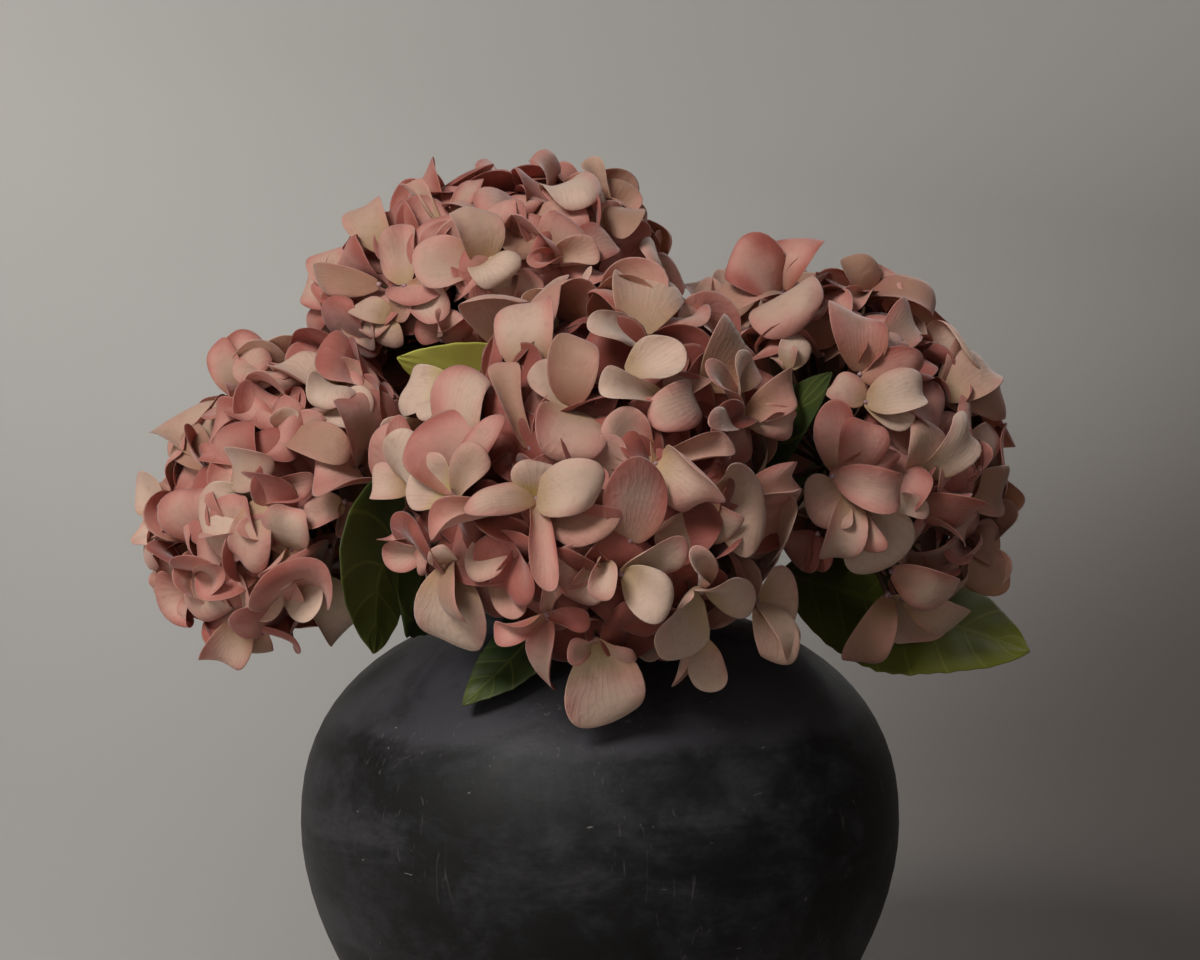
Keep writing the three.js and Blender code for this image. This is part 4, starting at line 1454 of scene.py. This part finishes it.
def shoulder_dust_and_reflection(clay, height):
    """A pale band on the shoulder, with an uneven lower edge: partly dust, partly a painted
    reflection.
    """
    # partly dust, partly a painted reflection band of the window
    wobble = clay.math("ADD", height, clay.math("MULTIPLY", clay.noise(9, 4), 0.02))
    band = clay.math("MULTIPLY", clay.ramp(wobble, 0.18, 0.188), clay.ramp(height, 0.235, 0.2))
    return clay.math("MULTIPLY", band, 0.15)


def clay_body(clay, height, lying, fine):
    """Black to grey in wide clouds, fine mottles and grain."""
    clouds = clay.noise(CLOUDS_PER_METRE, 6, lying, distortion=0.8, roughness=0.62)
    grain = clay.noise(GRAIN_PER_METRE, 4, lying, roughness=0.7)
    mottled = clay.math("ADD", clay.math("MULTIPLY", clouds, 0.62), clay.math("MULTIPLY", fine, 0.24))
    mottled = clay.math("ADD", mottled, clay.math("MULTIPLY", grain, 0.14))
    greyed = clay.ramp(clay.math("ADD", mottled, shoulder_dust_and_reflection(clay, height)), 0.41, 0.7)
    return clay.mix(greyed, CLAY_DARK, CLAY_PALE)


def clay_marks(clay, space, lying):
    """Upright scratches in some places, and a few small chips."""
    upright = clay.node("Mapping", {"Vector": space, "Scale": (1, 1, 0.12)}).outputs[0]
    scratches = clay.noise(SCRATCHES_PER_METRE, 3, upright, distortion=2.0)
    scratches = clay.ramp(scratches, 0.64, 0.74)
    scuffed = clay.math("MULTIPLY", scratches, clay.ramp(clay.noise(22, 3), 0.5, 0.62))
    chips = clay.noise(CHIPS_PER_METRE, 2, lying, distortion=0.8)
    chips = clay.ramp(chips, 0.745, 0.775)
    scuffed, chips = clay.math("MULTIPLY", scuffed, 0.28), clay.math("MULTIPLY", chips, 0.7)
    return clay.math("MAXIMUM", scuffed, chips)


def charcoal():
    """Dark matt clay with grey clouds, fine scratches and small pale chips."""
    clay = Shader("charcoal_clay", **{"Specular IOR Level": 0.3})
    space = clay.node("TexCoord").outputs["Object"]
    height = clay.node("SeparateXYZ", {0: space}).outputs["Z"]
    lying = clay.node("Mapping", {"Vector": space, "Scale": (1, 1, 2.2)}).outputs[0]
    fine = clay.noise(75, 5, roughness=0.6)
    body = clay_body(clay, height, lying, fine)
    marked = clay.mix(clay_marks(clay, space, lying), body, CLAY_CHIP)
    clay.feed(clay.surface.inputs["Base Color"], marked)
    matt = clay.node("MapRange", {"Value": fine, "To Min": 0.42, "To Max": 0.68})
    clay.feed(clay.surface.inputs["Roughness"], matt.outputs["Result"])
    rough = clay.bump(clay.noise(35, 5), 0.3, 0.0015)
    clay.feed(clay.surface.inputs["Normal"], clay.bump(clay.noise(700, 2), 0.15, 0.0003, rough))
    return clay.material


build_vase(charcoal())

# %% [markdown]
# ## The studio
#
# A pale floor runs up into a round wall, so every view has the same quiet background. Both are
# one bowl, spun like the vase, and their paint holds painted light and shade: pale at the upper
# left, darker to the lower right. They are staged: they aren't part of the object.

# %% Floor and wall
ROOM_RADIUS = 3.1
INNER_RADIUS = 0.3
COVE = 2.3
COVE_STEPS = 8
WALL_TOP = 3.4
LIT_PAINT = colour(201, 198, 193)
DUSKY_PAINT = colour(86, 78, 73)


def painted_light_wall():
    """Matt paint with painted light and shade: pale at the upper left, dusky at the lower right."""
    paint = Shader("painted_light_wall", Roughness=0.9)
    place = paint.node("SeparateXYZ", {0: paint.node("TexCoord").outputs["Object"]}).outputs
    # Painted shade: the fall-off is steeper on the floor in front, darkening it to the right of the
    # vase
    steepness = paint.math("MULTIPLY_ADD", paint.ramp(place["Y"], 2.2, 0.4), 0.9, 0.45)
    aside = paint.math("MULTIPLY", place["X"], steepness)
    painted_falloff = paint.math("SUBTRACT", aside, paint.math("MULTIPLY", place["Z"], 1.1))
    painted_falloff = paint.math("ADD", painted_falloff, paint.math("MULTIPLY", paint.noise(1.2, 2), 0.1))
    tint = paint.mix(paint.ramp(painted_falloff, -0.52, 0.62), LIT_PAINT, DUSKY_PAINT)
    paint.feed(paint.surface.inputs["Base Color"], tint)
    return paint.material


def room_profile():
    """The floor, the cove and the wall, in metres."""
    floor_radius = ROOM_RADIUS - COVE
    profile = [(0, 0), (INNER_RADIUS, 0), (floor_radius, 0)]
    for step in range(1, COVE_STEPS + 1):
        angle = step / COVE_STEPS * math.pi / 2
        profile.append((floor_radius + COVE * math.sin(angle), COVE - COVE * math.cos(angle)))
    return [*profile, (ROOM_RADIUS, WALL_TOP)]


def build_room():
    """The bowl, with its faces turned inwards."""
    bm = spun(room_profile(), 1)
    bmesh.ops.reverse_faces(bm, faces=bm.faces)
    mesh = bpy.data.meshes.new("room")
    bm.to_mesh(mesh)
    bm.free()
    mesh.shade_smooth()
    mesh.materials.append(painted_light_wall())
    room = bpy.data.objects.new("room", mesh)
    bpy.context.scene.collection.objects.link(room)
    print(f"room: {len(mesh.polygons)} faces")


build_room()

# %% [markdown]
# ## Light
#
# A large soft window stands to the left in front. Weak fills keep the right side and the back
# from going black, and one lamp washes the wall behind.

# %% Lights
LAMPS = {
    "window": {"place": (-1.25, -1.7, 2.1), "aim": (0, 0, 0.28), "size": 1.05, "watts": 51,
               "tint": (1, 0.98, 0.96)},
    "fill": {"place": (1.6, -1.4, 0.9), "aim": (0, 0, 0.25), "size": 1.4, "watts": 2.4,
             "tint": (0.95, 0.97, 1)},
    "back_fill": {"place": (0.7, 1.3, 1.3), "aim": (0, 0, 0.25), "size": 0.9, "watts": 6,
                  "tint": (0.97, 0.98, 1)},
    "wall_wash": {"place": (-0.9, 1.4, 1.5), "aim": (0, 3, 0.75), "size": 0.6, "watts": 7,
                  "tint": (1, 0.99, 0.97)},
}
SKY_TINT = (0.9, 0.93, 1, 1)
SKY_STRENGTH = 0.05


def add_lamp(name, lamp):
    """A round soft light at its place, turned to its aim."""
    data = bpy.data.lights.new(name, "AREA")
    data.shape = "DISK"
    data.size = lamp["size"]
    data.energy = lamp["watts"]
    data.color = lamp["tint"]
    holder = bpy.data.objects.new(name, data)
    holder.location = lamp["place"]
    towards = Vector(lamp["aim"]) - Vector(lamp["place"])
    holder.rotation_euler = towards.to_track_quat("-Z", "Y").to_euler()
    bpy.context.scene.collection.objects.link(holder)


for name, lamp in LAMPS.items():
    add_lamp(name, lamp)

world = bpy.data.worlds.new("room_light")
world.use_nodes = True
world.node_tree.nodes["Background"].inputs["Color"].default_value = SKY_TINT
world.node_tree.nodes["Background"].inputs["Strength"].default_value = SKY_STRENGTH
bpy.context.scene.world = world
bpy.context.scene.view_settings.view_transform = "Standard"
